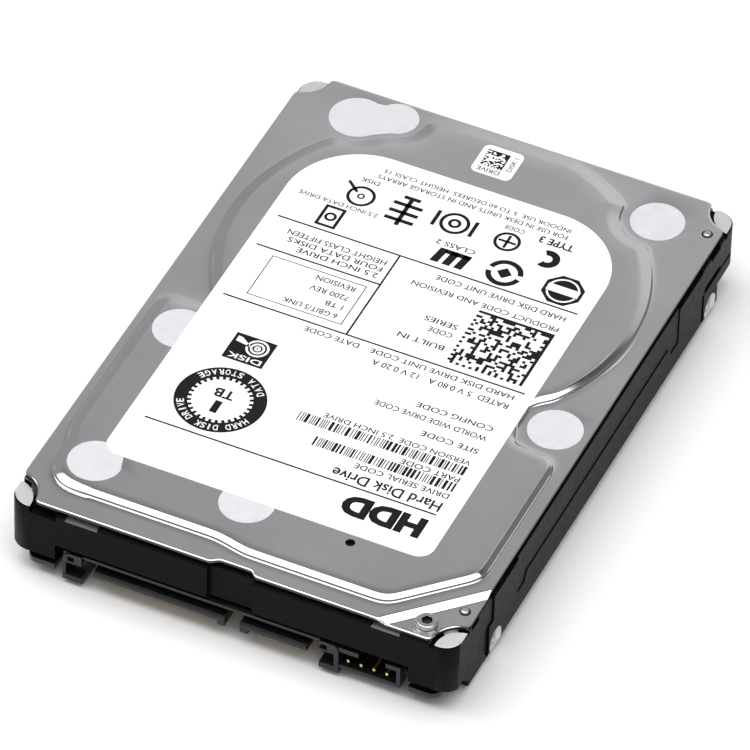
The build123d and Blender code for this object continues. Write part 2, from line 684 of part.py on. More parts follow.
def actuator_arms():
    bore = disc(PX, PY, PIVOT_SLEEVE_R)
    bottom = GAP_MIDS[0] - ARM_T / 2
    top = GAP_MIDS[-1] + ARM_T / 2
    arms = rise(disc(PX, PY, ARM_HUB_R), bottom, top)
    blade = polygon([(0, -4.6), (8, -4.2), (ARM_REACH, -2.3), (ARM_REACH, 2.3), (8, 4.2), (0, 4.6)])
    blade -= Pos(11.5, 0) * SlotOverall(7.0, 3.0)
    blade -= Pos(ARM_REACH - 1.8, 0) * Circle(1.0)
    for mid in GAP_MIDS:
        arms += rise(arm_plan(blade), mid - ARM_T / 2, mid + ARM_T / 2)
    return arms - rise(bore, 0, 20)


def head_suspensions():
    beam = polygon([(ARM_REACH - 3.6, -2.1), (ARM_REACH + 0.6, -2.1), (HEAD_REACH, -0.7), (HEAD_REACH + 0.9, -0.3),
                    (TAB_REACH, -0.3), (TAB_REACH, 0.3), (HEAD_REACH + 0.9, 0.3), (HEAD_REACH, 0.7),
                    (ARM_REACH + 0.6, 2.1), (ARM_REACH - 3.6, 2.1)])
    beam -= Pos(ARM_REACH - 1.8, 0) * Circle(0.9)
    beam -= Pos(ARM_REACH + 3.2, 0) * Circle(0.7)
    return group([rise(arm_plan(beam), *sorted((mid + side * BEAM_GAP[0], mid + side * BEAM_GAP[1])))
                  for mid, side in head_sides()])


def head_sliders():
    slider = arm_plan(Pos(HEAD_REACH, 0) * Rectangle(1.2, 1.0))
    far = BEAM_GAP[1] + 0.23
    return group([rise(slider, *sorted((mid + side * BEAM_GAP[1], mid + side * far)))
                  for mid, side in head_sides()])


def pivot_shaft():
    return rod(PX, PY, PIVOT_SHAFT_R, DECK_Z, 13.9) + rod(PX, PY, 1.48, 4.5, DECK_Z + 0.1)


def pivot_bearings():
    """Two ball bearings; each is drawn as its race with the clearance at the shaft."""
    return group([tube(PX, PY, PIVOT_RACE_R, PIVOT_SHAFT_R + 0.05, z, z + 2.2) for z in (5.9, 11.4)])


def pivot_sleeve():
    return tube(PX, PY, PIVOT_SLEEVE_R, PIVOT_RACE_R, 5.7, 13.8)


def coil_mid():
    return PARK_ANGLE + 180


def voice_coil():
    a = coil_mid()
    outer = sector(PIVOT, COIL_IN_R, COIL_OUT_R, a - COIL_HALF_ANGLE, a + COIL_HALF_ANGLE)
    inner = sector(PIVOT, COIL_IN_R + 2.8, COIL_OUT_R - 2.8, a - COIL_HALF_ANGLE / 2, a + COIL_HALF_ANGLE / 2)
    ring = fillet(outer.vertices(), 1.6) - fillet(inner.vertices(), 1.0)
    return rise(ring, *COIL_Z)


def coil_frame():
    a = coil_mid()
    plan = sector(PIVOT, 4.0, COIL_OUT_R, a - FRAME_HALF_ANGLE, a + FRAME_HALF_ANGLE) - disc(PX, PY, ARM_HUB_R)
    plan -= sector(PIVOT, COIL_IN_R, COIL_OUT_R + 1, a - COIL_HALF_ANGLE, a + COIL_HALF_ANGLE)
    return rise(plan, COIL_Z[0] + 0.1, COIL_Z[1] - 0.1)


def yoke_plan():
    plan = sector(PIVOT, 8.2, YOKE_OUT_R, *YOKE_ANGLES)
    for angle, radius, post_r in YOKE_POSTS:
        x, y = polar(PIVOT, radius, angle)
        plan += disc(x, y, post_r + 0.6)
    return plan


def magnet_plan(start, end):
    return sector(PIVOT, COIL_IN_R + 0.6, COIL_OUT_R - 0.4, start, end)


def magnets(z0, z1):
    middle = sum(YOKE_ANGLES) / 2
    return group([rise(magnet_plan(YOKE_ANGLES[0] + 2, middle - 0.4), z0, z1),
                  rise(magnet_plan(middle + 0.4, YOKE_ANGLES[1] - 2), z0, z1)])


def yoke_posts():
    return group([rod(*polar(PIVOT, radius, angle), post_r, LOWER_MAGNET_Z[0], UPPER_MAGNET_Z[1])
                  for angle, radius, post_r in YOKE_POSTS])


def head_ramp():
    """Comb that the lift tabs park on; each finger straddles the edge of one disk."""
    comb = rise(sector(PIVOT, 36.8, 38.8, 14.5, 26.5) - disc(SX, SY, DISK_R + 0.4), DECK_Z, 13.3)
    finger = sector(PIVOT, 34.7, 36.9, 15.5, 27.5)
    for k in range(DISK_COUNT):
        z = FIRST_DISK_Z + DISK_PITCH * k
        comb += rise(finger, z - 0.28, z + DISK_T + 0.28)
        comb -= rod(SX, SY, DISK_R + 0.3, z - 0.1, z + DISK_T + 0.1)
    return comb


def inertia_latch():
    x, y = LATCH_AT
    plan = disc(x, y, 1.7) + polygon([(x - 1.5, y - 0.6), (x + 0.2, y - 1.2), (-30.7, -19.4), (-31.4, -19.4)])
    plan += disc(-31.0, -19.3, 0.5) + disc(x - 0.8, y + 2.2, 0.9)
    return rise(plan - disc(x, y, LATCH_PIN_R + 0.04), 8.7, 10.3)


def crash_stops():
    return group([rod(*polar(PIVOT, 14.0, angle), 1.2, DECK_Z, 11.0) for angle in (169.5, 267.0)])


def flex_bracket():
    body = block(6.0, 20.0, -42.4, -33.6, DECK_Z, 7.0) + block(6.0, 8.0, -38.4, -33.6, DECK_Z, 11.8)
    return body - block(9.6, 18.4, -41.0, -35.0, 6.4, 8.0)


def flex_cable():
    """Ribbon loop from the bracket to the side of the actuator."""
    path = Spline((6.0 - 0.1, -36.0), (2.2, -39.2), (-2.4, -36.8), (-2.6, -31.4), (-1.4, -27.2))
    loop = trace(path, line_width=0.16)
    return rise(loop, 7.6, 11.6)


# ---------------------------------------------------------------- build
def main():
    os.makedirs("parts", exist_ok=True)
    save("base_casting", base_casting())
    save("top_cover", top_cover())
    save("cover_gasket", cover_gasket())
    save("cover_screws", cover_screws())
    save("corner_screw", corner_screw())
    save("locating_pins", locating_pins())
    save("screw_seals", screw_seals())
    save("rear_seal", rear_seal())
    save("main_label", rise(label_outline(), PLATEAU_Z, PLATEAU_Z + LABEL_T))
    save("serial_label", serial_label())
    save("breather_filter", breather_filter())
    save("recirculation_filter", recirculation_filter())

    save("pcb", pcb())
    save("board_screws", board_screws())
    save("controller_chip", chip(2.0, -11.5, 11.0, 9.0))
    save("memory_chip", chip(-14.0, -20.0, 8.0, 11.0))
    save("flash_chip", chip(14.0, -24.0, 6.0, 5.0))
    save("motor_driver_chip", motor_driver_chip())
    save("board_components", board_components())
    save("board_header", board_header())
    save("foam_pad", foam_pad())
    save("sata_housing", sata_housing())
    save("sata_contacts", group(contact_rows()))
    save("jumper_pins", jumper_pins())

    save("motor_sleeve", motor_sleeve())
    save("motor_end_cap", motor_end_cap())
    save("stator_core", stator_core())
    save("stator_coils", stator_coils())
    save("motor_shaft", motor_shaft())
    save("rotor_magnet", tube(SX, SY, 10.3, 9.3, 2.9, 5.4))
    save("spindle_hub", spindle_hub())
    for k in range(DISK_COUNT):
        z = FIRST_DISK_Z + DISK_PITCH * k
        save("platter_" + str(k + 1), tube(SX, SY, DISK_R, DISK_BORE_R, z, z + DISK_T))
        if k < DISK_COUNT - 1:
            save("spacer_" + str(k + 1), tube(SX, SY, 12.5, DISK_BORE_R, z + DISK_T, z + DISK_PITCH))
    save("disk_clamp", disk_clamp())
    save("clamp_screws", clamp_screws())

    save("actuator_arms", actuator_arms())
    save("head_suspensions", head_suspensions())
    save("head_sliders", head_sliders())
    save("pivot_shaft", pivot_shaft())
    save("pivot_bearings", pivot_bearings())
    save("pivot_sleeve", pivot_sleeve())
    save("voice_coil", voice_coil())
    save("coil_frame", coil_frame())
    save("lower_yoke", rise(yoke_plan(), DECK_Z, LOWER_MAGNET_Z[0]))
    save("lower_magnets", magnets(*LOWER_MAGNET_Z))
    save("upper_magnets", magnets(*UPPER_MAGNET_Z))
    save("upper_yoke", rise(yoke_plan(), UPPER_MAGNET_Z[1], UPPER_YOKE_TOP))
    save("yoke_posts", yoke_posts())
    save("head_ramp", head_ramp())
    save("inertia_latch", inertia_latch())
    save("latch_pin", rod(*LATCH_AT, LATCH_PIN_R, 4.5, 11.4))
    save("crash_stops", crash_stops())
    save("flex_bracket", flex_bracket())
    save("flex_cable", flex_cable())


main()
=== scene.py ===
import json
import math
import random
from functools import partialmethod

import bmesh
import bpy
import numpy as np
from mathutils import Matrix, Vector
from mathutils.geometry import delaunay_2d_cdt


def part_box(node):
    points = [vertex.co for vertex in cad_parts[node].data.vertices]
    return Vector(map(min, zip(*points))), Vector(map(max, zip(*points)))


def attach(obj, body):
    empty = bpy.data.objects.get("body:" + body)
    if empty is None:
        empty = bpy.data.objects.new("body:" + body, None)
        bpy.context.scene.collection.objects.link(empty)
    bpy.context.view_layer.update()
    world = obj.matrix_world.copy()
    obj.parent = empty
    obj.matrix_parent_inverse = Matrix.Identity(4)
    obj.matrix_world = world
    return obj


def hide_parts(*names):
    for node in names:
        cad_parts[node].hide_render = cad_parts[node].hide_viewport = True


# The looks of a 2.5-inch hard disk drive. Lengths are in metres, in the drive's own frame:
# the origin is under its middle, +Y points away from the plug and +Z out of the top cover.
# Sizes written in millimetres are turned into metres by MM.
MM = 0.001

# camera: where it looks, from where, and how it is turned about its own axis
TARGET = Vector((-1.28, 1.50, 7.0)) * MM
AZIMUTH = math.radians(23.66)
ELEVATION = math.radians(43.67)
ROLL = math.radians(1.70)
DISTANCE = 1.313
LENS_MM = 434.6

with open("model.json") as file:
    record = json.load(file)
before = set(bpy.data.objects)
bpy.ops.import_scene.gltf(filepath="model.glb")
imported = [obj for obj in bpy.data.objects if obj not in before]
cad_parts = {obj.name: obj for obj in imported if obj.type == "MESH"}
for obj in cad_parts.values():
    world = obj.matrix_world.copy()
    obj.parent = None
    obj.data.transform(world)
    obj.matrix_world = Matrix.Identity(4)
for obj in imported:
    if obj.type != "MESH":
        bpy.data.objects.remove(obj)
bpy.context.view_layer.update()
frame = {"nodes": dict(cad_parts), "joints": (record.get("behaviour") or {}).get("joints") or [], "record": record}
nodes = frame["nodes"]
record = frame["record"]


# ---- node trees
class Graph:
    """A material's node tree, with a short call for each kind of node used here."""

    def __init__(self, name, **values):
        self.material = bpy.data.materials.new(name)
        self.material.use_nodes = True
        self.tree = self.material.node_tree
        self.shader = self.tree.nodes["Principled BSDF"]
        coordinates = self.tree.nodes.new("ShaderNodeTexCoord")
        self.place = coordinates.outputs["Object"]
        self.normal = coordinates.outputs["Normal"]
        self.set(**values)

    def put(self, socket, value):
        if isinstance(value, bpy.types.NodeSocket):
            self.tree.links.new(value, socket)
        elif isinstance(value, (tuple, list)) and len(value) == 3 and socket.type == "RGBA":
            socket.default_value = (*value, 1.0)
        else:
            socket.default_value = value

    def node(self, kind, inputs, **settings):
        made = self.tree.nodes.new(kind)
        for key, value in settings.items():
            setattr(made, key, value)
        for key, value in inputs.items():
            self.put(made.inputs[key], value)
        return made

    def math(self, operation, a, b=0.0, c=0.0):
        return self.node("ShaderNodeMath", {0: a, 1: b, 2: c}, operation=operation).outputs[0]

    plus = partialmethod(math, "ADD")
    minus = partialmethod(math, "SUBTRACT")
    inverse = partialmethod(math, "SUBTRACT", 1.0)
    times = partialmethod(math, "MULTIPLY")
    times_plus = partialmethod(math, "MULTIPLY_ADD")
    absolute = partialmethod(math, "ABSOLUTE")
    above = partialmethod(math, "GREATER_THAN")
    below = partialmethod(math, "LESS_THAN")
    both = partialmethod(math, "MINIMUM")
    either = partialmethod(math, "MAXIMUM")

    def lane(self, value, pitch):
        """How far a value is into a pitch that repeats, 0 to 1."""
        return self.math("FRACT", self.math("DIVIDE", value, pitch))

    def axes(self, vector=None):
        made = self.node("ShaderNodeSeparateXYZ", {0: vector or self.place})
        return made.outputs[0], made.outputs[1], made.outputs[2]

    def stretched(self, x, y, z):
        """Object coordinates with each axis scaled."""
        made = self.node("ShaderNodeVectorMath", {0: self.place, 1: (x, y, z)}, operation="MULTIPLY")
        return made.outputs[0]

    def noise(self, size, detail=2.0, rough=0.5, where=None):
        """Fractal noise; size is the width of one lump in metres."""
        inputs = {"Vector": where or self.place, "Scale": 1.0 / size, "Detail": detail, "Roughness": rough}
        return self.node("ShaderNodeTexNoise", inputs).outputs["Fac"]

    def between(self, value, low, high, to_low=0.0, to_high=1.0, smooth=False):
        """Maps low to high onto to_low to to_high, clamped."""
        inputs = {"Value": value, "From Min": low, "From Max": high, "To Min": to_low, "To Max": to_high}
        kind = "SMOOTHSTEP" if smooth else "LINEAR"
        return self.node("ShaderNodeMapRange", inputs, interpolation_type=kind).outputs[0]

    def mix(self, share, a, b):
        made = self.node("ShaderNodeMix", {}, data_type="RGBA")
        self.put(made.inputs[0], share)
        self.put(made.inputs[6], a)
        self.put(made.inputs[7], b)
        return made.outputs[2]

    def bump(self, height, depth):
        """Relief on the surface; depth is the height in metres that a value of 1 stands for."""
        made = self.node("ShaderNodeBump", {"Height": height, "Distance": depth, "Strength": 1.0})
        self.set(Normal=made.outputs[0])
        return self.material

    def vector(self, x, y, z):
        return self.node("ShaderNodeCombineXYZ", {0: x, 1: y, 2: z}).outputs[0]

    def reach(self, x, y, centre):
        """Distance from a point, measured in the plane of two coordinates."""
        dx = self.minus(x, centre[0])
        dy = self.minus(y, centre[1])
        return self.math("SQRT", self.times_plus(dx, dx, self.times(dy, dy)))

    def choose(self, test, no, yes):
        """One of two values, by a test that is 0 or 1."""
        return self.times_plus(self.minus(yes, no), test, no)

    def set(self, **values):
        for key, value in values.items():
            self.put(self.shader.inputs[key.replace("_", " ")], value)


def assign(material, *names):
    for name in names:
        slots = nodes[name].data.materials
        slots.clear()
        slots.append(material)


def joint_place(name):
    """Where a joint's axis stands in plan."""
    joint = next(j for j in frame["joints"] if j["name"] == name)
    return tuple(joint["pos_m"][:2])


SPINDLE_AT = joint_place("spindle_spin")
PIVOT_AT = joint_place("actuator_swing")


# ---- materials
def grained(name, dark, light, rough, lump, depth, metallic=0.0, stretch=(1, 1, 1), level=0.5):
    """A finish with a grain in its colour, gloss and relief.

    rough is the range of roughness; lump and depth are the grain's size and height in mm;
    stretch draws the grain out along the axes given less than 1."""
    g = Graph(name, Metallic=metallic, Specular_IOR_Level=level)
    grain = g.noise(lump * MM, 3.0, 0.55, g.stretched(*stretch))
    cloud = g.noise(lump * 9 * MM, 2.0)
    both = g.times_plus(grain, 0.55, g.times(cloud, 0.45))
    g.set(Base_Color=g.mix(g.between(both, 0.38, 0.62), dark, light))
    g.set(Roughness=g.between(both, 0.38, 0.62, *rough))
    return g.bump(grain, depth * MM)


def turned(name, centre, dark, light, rough, lump, depth):
    """A metal turned on a lathe: its grain runs in rings round an axis along Z."""
    g = Graph(name, Metallic=1.0)
    x, y, z = g.axes()
    radius = g.reach(x, y, centre)
    grain = g.noise(lump * MM, 3.0, 0.6, g.vector(radius, 0.0, z))
    cloud = g.noise(lump * 30 * MM, 2.0)
    both = g.times_plus(grain, 0.7, g.times(cloud, 0.3))
    g.set(Base_Color=g.mix(g.between(both, 0.35, 0.65), dark, light))
    g.set(Roughness=g.between(both, 0.35, 0.65, *rough))
    return g.bump(grain, depth * MM)


def wound(name, centre, wire):
    """Enamelled copper wire: turns laid side by side, seen as round ridges, with painted shade in the grooves
    between them.
    """
    g = Graph(name, Metallic=1.0, Coat_Weight=0.6, Coat_Roughness=0.15)
    x, y, z = g.axes()
    radius = g.reach(x, y, centre)
    wander = g.times(g.noise(1.5 * MM), wire * 0.8)
    phase = g.times(g.plus(g.plus(radius, z), wander), 2 * math.pi / wire)
    ridge = g.absolute(g.math("SINE", g.times(phase, 0.5)))
    # painted shade: the colour darkens into the grooves between turns
    g.set(Base_Color=g.mix(g.between(ridge, 0.1, 0.8), (0.16, 0.045, 0.02), (0.72, 0.30, 0.13)))
    g.set(Roughness=g.between(g.noise(0.6 * MM), 0.3, 0.7, 0.25, 0.4))
    return g.bump(ridge, wire * 0.3)


def cover_steel():
    """Cold-rolled stainless sheet: satin, with a fine rolling grain and very slight waves."""
    g = Graph("cover_steel", Metallic=1.0)
    grain = g.noise(0.12 * MM, 2.0, 0.6, g.stretched(1.0, 0.05, 1.0))
    cloud = g.noise(16 * MM, 3.0)
    sheet = g.mix(g.between(cloud, 0.3, 0.7), (0.52, 0.525, 0.54), (0.58, 0.585, 0.60))
    # the punched edge faces are rougher, and also painted near-black as shade
    torn_and_shaded = g.mix(g.noise(0.1 * MM, 2.0), (0.05, 0.05, 0.052), (0.14, 0.14, 0.145))
    true_normal = g.node("ShaderNodeNewGeometry", {}).outputs["True Normal"]
    punched = g.below(g.absolute(g.axes(true_normal)[2]), 0.3)
    g.set(Base_Color=g.mix(punched, sheet, torn_and_shaded))
    rubbed = g.between(g.noise(2.5 * MM, 4.0, 0.7, g.stretched(1.0, 0.5, 1.0)), 0.45, 0.75)
    both = g.times_plus(grain, 0.5, g.times_plus(cloud, 0.3, g.times(rubbed, 0.2)))
    g.set(Roughness=g.times_plus(punched, 0.4, g.between(both, 0.3, 0.65, 0.10, 0.16)))
    waves = g.noise(22 * MM, 1.0)
    return g.bump(g.times_plus(grain, 0.008, waves), 0.05 * MM)


HOLE_R = 2.2 * MM        # reach of the bare metal round a mounting hole
PAD_R = 4.6 * MM         # radius of the milled pads at the corners
LAND_DROP = 0.5 * MM     # the two front lands lie this far below the casting's top


def casting_paint():
    """Black electrocoat over cast aluminium, cut back to bright metal where the casting is machined; the two front
    lands are machined too, but painted a dull mid-grey as shade.
    """
    g = Graph("casting_paint", Specular_IOR_Level=0.06)
    x, y, z = g.axes()
    mounts = {m["name"]: m for m in record["mounts"]}
    _, middle, hole_z = mounts["side_holes_right"]["pos_m"]
    along = mounts["side_holes_right"]["dims"]["spacing_x_mm"] / 2 * MM
    across = mounts["bottom_holes"]["dims"]["spacing_y_mm"] / 2 * MM
    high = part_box("base_casting")[1]
    facing_x, _, facing_z = g.axes(g.normal)
    lateral = g.absolute(x)
    onward = g.absolute(g.minus(y, middle))
    # the milled top faces at the four corners, and the two lower lands at the front
    corner = g.reach(lateral, g.absolute(y), (high.x + 0.35 * MM, high.y - 0.525 * MM))
    pads = g.both(g.below(corner, PAD_R), g.above(z, high.z - 0.06 * MM))
    shaded_lands = g.both(g.below(g.absolute(g.minus(z, high.z - LAND_DROP)), 0.03 * MM), g.above(facing_z, 0.9))
    # the countersinks and threads of the mounting holes
    side = g.both(g.below(g.reach(onward, z, (along, hole_z)), HOLE_R), g.above(lateral, high.x - 4 * MM))
    side = g.both(side, g.below(g.absolute(facing_x), 0.93))
    under = g.both(g.below(g.reach(onward, lateral, (along, across)), HOLE_R), g.below(z, 4.2 * MM))
    under = g.both(under, g.below(g.absolute(facing_z), 0.93))
    # the sealing rim and the inside of the casting, which are machined too
    inner = g.both(g.below(lateral, 33.3 * MM), g.above(z, 5.0 * MM))
    inner = g.both(inner, g.below(g.absolute(y), 47.0 * MM))
    bare = g.either(g.either(pads, side), g.either(under, inner))
    mill = g.noise(0.1 * MM, 2.0, 0.6, g.stretched(1.0, 0.04, 1.0))
    lump = g.noise(0.9 * MM, 4.0, 0.55)
    peel = g.noise(0.22 * MM, 2.0)
    black = g.mix(lump, (0.0022, 0.0023, 0.0028), (0.0048, 0.0050, 0.0060))
    # painted shade: the two front lands' bare metal is drawn a dull mid-grey
    black = g.mix(shaded_lands, black, (0.17, 0.176, 0.186))
    bright = g.mix(mill, (0.60, 0.605, 0.62), (0.78, 0.785, 0.80))
    g.set(Base_Color=g.mix(bare, black, bright), Metallic=g.times(bare, 0.7))
    painted_rough = g.between(g.times_plus(lump, 0.6, g.times(peel, 0.4)), 0.3, 0.7, 0.34, 0.5)
    bare_rough = g.between(mill, 0.3, 0.7, 0.3, 0.44)
    g.set(Roughness=g.plus(g.times(painted_rough, g.inverse(bare)), g.times(bare_rough, bare)))
    relief = g.times_plus(peel, 0.35, g.times(lump, 0.65))
    relief = g.times(relief, g.inverse(g.times(bare, 0.92)))
    return g.bump(relief, 0.012 * MM)


def board_mask():
    """Circuit board: dark solder mask over raised tracks, gilt test pads with vias, and routed edges."""
    g = Graph("board_mask", Specular_IOR_Level=0.4)
    x, y, z = g.axes()
    cell = 3.2 * MM      # the tracks keep one direction within a cell
    spot = 2.6 * MM      # one pad may lie in each spot
    column = g.math("FLOOR", g.math("DIVIDE", x, cell))
    row = g.math("FLOOR", g.math("DIVIDE", y, cell))
    place = {"Vector": g.vector(column, row, 0.0)}
    pick = g.node("ShaderNodeTexWhiteNoise", place, noise_dimensions="3D").outputs["Value"]
    slanted = g.times(g.plus(x, y), 0.7071)
    along = g.choose(g.above(pick, 0.34), x, g.choose(g.above(pick, 0.67), y, slanted))
    off_middle = g.absolute(g.minus(g.lane(along, 0.42 * MM), 0.5))
    track = g.times(g.between(off_middle, 0.2, 0.26, 1.0, 0.0), g.between(g.noise(5 * MM, 1.0), 0.46, 0.5))
    place = {"Vector": g.vector(x, y, 0.0), "Scale": 1.0 / spot, "Randomness": 0.75}
    spots = g.node("ShaderNodeTexVoronoi", place)
    ring = g.times(spots.outputs["Distance"], spot)
    chosen = g.above(g.axes(spots.outputs["Color"])[0], 0.45)
    pad = g.both(g.below(ring, 0.34 * MM), chosen)
    via = g.both(g.below(ring, 0.12 * MM), chosen)
    edge = g.below(g.absolute(g.axes(g.normal)[2]), 0.6)
    pad = g.times(pad, g.inverse(edge))
    mask = g.mix(track, (0.004, 0.0065, 0.006), (0.009, 0.015, 0.013))
    weave = g.noise(0.12 * MM, 3.0, 0.6, g.stretched(0.2, 0.2, 1.0))
    fibre = g.mix(weave, (0.055, 0.032, 0.014), (0.20, 0.125, 0.055))
    routed = g.mix(g.noise(0.2 * MM, 2.0), (0.020, 0.019, 0.022), (0.038, 0.036, 0.041))
    rim = g.below(z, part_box("pcb")[0].z + 0.22 * MM)
    colour = g.mix(edge, mask, g.mix(rim, routed, fibre))
    colour = g.mix(pad, colour, (0.66, 0.56, 0.36))
    # painted shade: each via's hole is drawn near-black
    g.set(Base_Color=g.mix(g.times(via, pad), colour, (0.01, 0.008, 0.006)))
    g.set(Metallic=g.times(pad, g.inverse(via)))
    g.set(Roughness=g.between(g.noise(1.2 * MM), 0.3, 0.7, 0.3, 0.42))
    return g.bump(g.minus(g.either(track, pad), via), 0.02 * MM)


def chip_resin(name):
    """Moulded black resin with a pale first-pin dot and faint rows of laser marking."""
    low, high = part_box(name)
    g = Graph(name + "_resin", Specular_IOR_Level=0.35)
    x, y, _ = g.axes()
    grain = g.noise(0.08 * MM, 3.0, 0.6)
    inset = 0.16 * min(high.x - low.x, high.y - low.y)
    dot = g.below(g.reach(x, y, (low.x + inset, high.y - inset)), inset * 0.35)
    line = g.lane(y, 0.9 * MM)
    dash = g.above(g.noise(0.16 * MM, 0.0, 0.5, g.stretched(1.0, 0.02, 0.0)), 0.5)
    written = g.both(g.both(g.below(line, 0.45), dash),
                     g.both(g.above(x, low.x + 2.2 * inset), g.above(high.x - inset, x)))
    written = g.both(written, g.both(g.above(y, low.y + 1.5 * inset), g.above(high.y - 2.0 * inset, y)))
    outer = g.above(g.times(g.axes(g.normal)[2], -1.0), 0.9)
    marks = g.times(g.either(g.times(written, 0.35), dot), outer)
    black = g.mix(grain, (0.012, 0.012, 0.013), (0.026, 0.026, 0.028))
    g.set(Base_Color=g.mix(marks, black, (0.22, 0.22, 0.23)))
    g.set(Roughness=g.between(grain, 0.3, 0.7, 0.45, 0.6))
    return g.bump(grain, 0.004 * MM)


def flex_film():
    """Amber polyimide film over copper tracks that run along it."""
    g = Graph("flex_film", Coat_Weight=0.4, Coat_Roughness=0.1)
    off_middle = g.absolute(g.minus(g.lane(g.axes()[2], 0.32 * MM), 0.5))
    track = g.between(off_middle, 0.24, 0.3, 1.0, 0.0)
    tint = g.mix(g.noise(2 * MM), (0.42, 0.17, 0.03), (0.55, 0.25, 0.05))
    g.set(Base_Color=g.mix(track, tint, (0.70, 0.36, 0.12)))
    g.set(Metallic=g.times(track, 0.6), Roughness=g.between(g.noise(0.5 * MM), 0.3, 0.7, 0.22, 0.34))
    return g.bump(track, 0.01 * MM)


def open_foam():
    """Open-cell foam, its pores painted dark as shade."""
    g = Graph("open_foam", Specular_IOR_Level=0.1, Roughness=0.95)
    place = {"Vector": g.place, "Scale": 1.0 / (0.35 * MM)}
    cells = g.node("ShaderNodeTexVoronoi", place).outputs["Distance"]
    # painted shade: darker towards the middle of each pore
    g.set(Base_Color=g.mix(cells, (0.012,) * 3, (0.075, 0.075, 0.078)))
    return g.bump(cells, 0.12 * MM)


def fibre_mat(name, dark, light):
    """Non-woven filter cloth: fine crossing fibres."""
    g = Graph(name, Specular_IOR_Level=0.2)
    first = g.noise(0.09 * MM, 2.0, 0.6, g.stretched(1.0, 0.15, 0.4))
    second = g.noise(0.09 * MM, 2.0, 0.6, g.stretched(0.15, 1.0, 0.6))
    fibres = g.either(first, second)
    g.set(Base_Color=g.mix(g.between(fibres, 0.4, 0.7), dark, light))
    g.set(Roughness=g.between(fibres, 0.4, 0.7, 0.95, 0.8))
    return g.bump(fibres, 0.05 * MM)


def sheet_paper():
    """Coated label stock: white, faintly mottled, with a very slight tooth."""
    g = Graph("label_paper", Specular_IOR_Level=0.3)
    mottle = g.noise(1.4 * MM, 4.0, 0.6)
    g.set(Base_Color=g.mix(mottle, (0.93, 0.93, 0.935), (0.9486, 0.9486, 0.9537)))
    g.set(Roughness=g.between(mottle, 0.3, 0.7, 0.42, 0.55))
    return g.bump(g.noise(0.05 * MM, 2.0), 0.0015 * MM)


def mottled(name, lump, detail, fine, dark, light, rough, depth=0.0, **values):
    """A finish with one mottle in its colour, gloss and relief; lump and depth are in mm."""
    g = Graph(name, **values)
    mottle = g.noise(lump * MM, detail, fine)
    g.set(Base_Color=g.mix(mottle, dark, light), Roughness=g.between(mottle, 0.3, 0.7, *rough))
    if depth:
        g.bump(mottle, depth * MM)
    return g.material


def corner_plating():
    """Smoother plating on the tall screw at the lowered corner, with painted shade inside its hexagonal drive."""
    low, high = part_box("corner_screw")
    g = Graph("corner_screw_plating", Metallic=1.0)
    x, y, z = g.axes()
    swirl = g.noise(0.4 * MM, 2.0, 0.5)
    from_axis = g.reach(x, y, ((low.x + high.x) / 2, (low.y + high.y) / 2))
    shaded_drive = g.both(g.below(from_axis, 0.87 * MM), g.below(z, high.z - 0.03 * MM))
    plated = g.mix(swirl, (0.40, 0.395, 0.385), (0.54, 0.535, 0.52))
    # painted shade: the plating inside the drive is drawn near-black
    g.set(Base_Color=g.mix(shaded_drive, plated, (0.06, 0.06, 0.06)))
    g.set(Roughness=g.plus(g.between(swirl, 0.3, 0.7, 0.20, 0.28), g.times(shaded_drive, 0.2)))
    return g.bump(swirl, 0.001 * MM)


# grained finishes by slot, and nickel, which isn't one: name, dark and light colour, roughness, the
# grain's size and height in mm, and for metals 1.0 and how the grain is drawn out
GRAINS = {
    "gasket": ("gasket_rubber", (0.008,) * 3, (0.02,) * 3, (0.6, 0.8), 0.12, 0.004),
    "chip": ("chip_resin", (0.012,) * 3, (0.026,) * 3, (0.45, 0.6), 0.08, 0.004),
    "component": ("ceramic", (0.20, 0.12, 0.07), (0.42, 0.30, 0.20), (0.35, 0.5), 0.2, 0.006),
    "moulding": ("amber_moulding", (0.50, 0.44, 0.32), (0.66, 0.60, 0.46), (0.35, 0.5), 0.3, 0.004),
    "stop_rubber": ("stop_rubber", (0.02,) * 3, (0.045,) * 3, (0.6, 0.8), 0.15, 0.006),
    "bearing_bronze": ("sintered_bronze", (0.36, 0.22, 0.10), (0.62, 0.42, 0.22), (0.4, 0.6), 0.07, 0.008,
                       1.0),
    "magnet": ("plated_magnet", (0.50, 0.50, 0.49), (0.68, 0.68, 0.66), (0.22, 0.36), 0.3, 0.003, 1.0),
    "nickel": ("nickel_plate", (0.50, 0.49, 0.46), (0.60, 0.59, 0.565), (0.22, 0.34), 0.25, 0.002, 1.0),
    "contact_gold": ("contact_gold", (0.72, 0.50, 0.18), (0.90, 0.70, 0.32), (0.16, 0.28), 0.1, 0.001, 1.0,
                     (1, 0.1, 1)),
    "spring_steel": ("spring_steel", (0.52, 0.52, 0.53), (0.68,) * 3, (0.18, 0.3), 0.1, 0.0008, 1.0,
                     (1, 0.1, 1)),
    "core_steel": ("laminated_steel", (0.10, 0.10, 0.11), (0.42, 0.41, 0.40), (0.35, 0.5), 0.2, 0.02, 1.0,
                   (0.05, 0.05, 1.0)),
    "machined_aluminium": ("milled_aluminium", (0.66, 0.66, 0.67), (0.76, 0.76, 0.77), (0.26, 0.4), 0.08,
                           0.0015, 1.0, (0.1, 1, 1)),
}


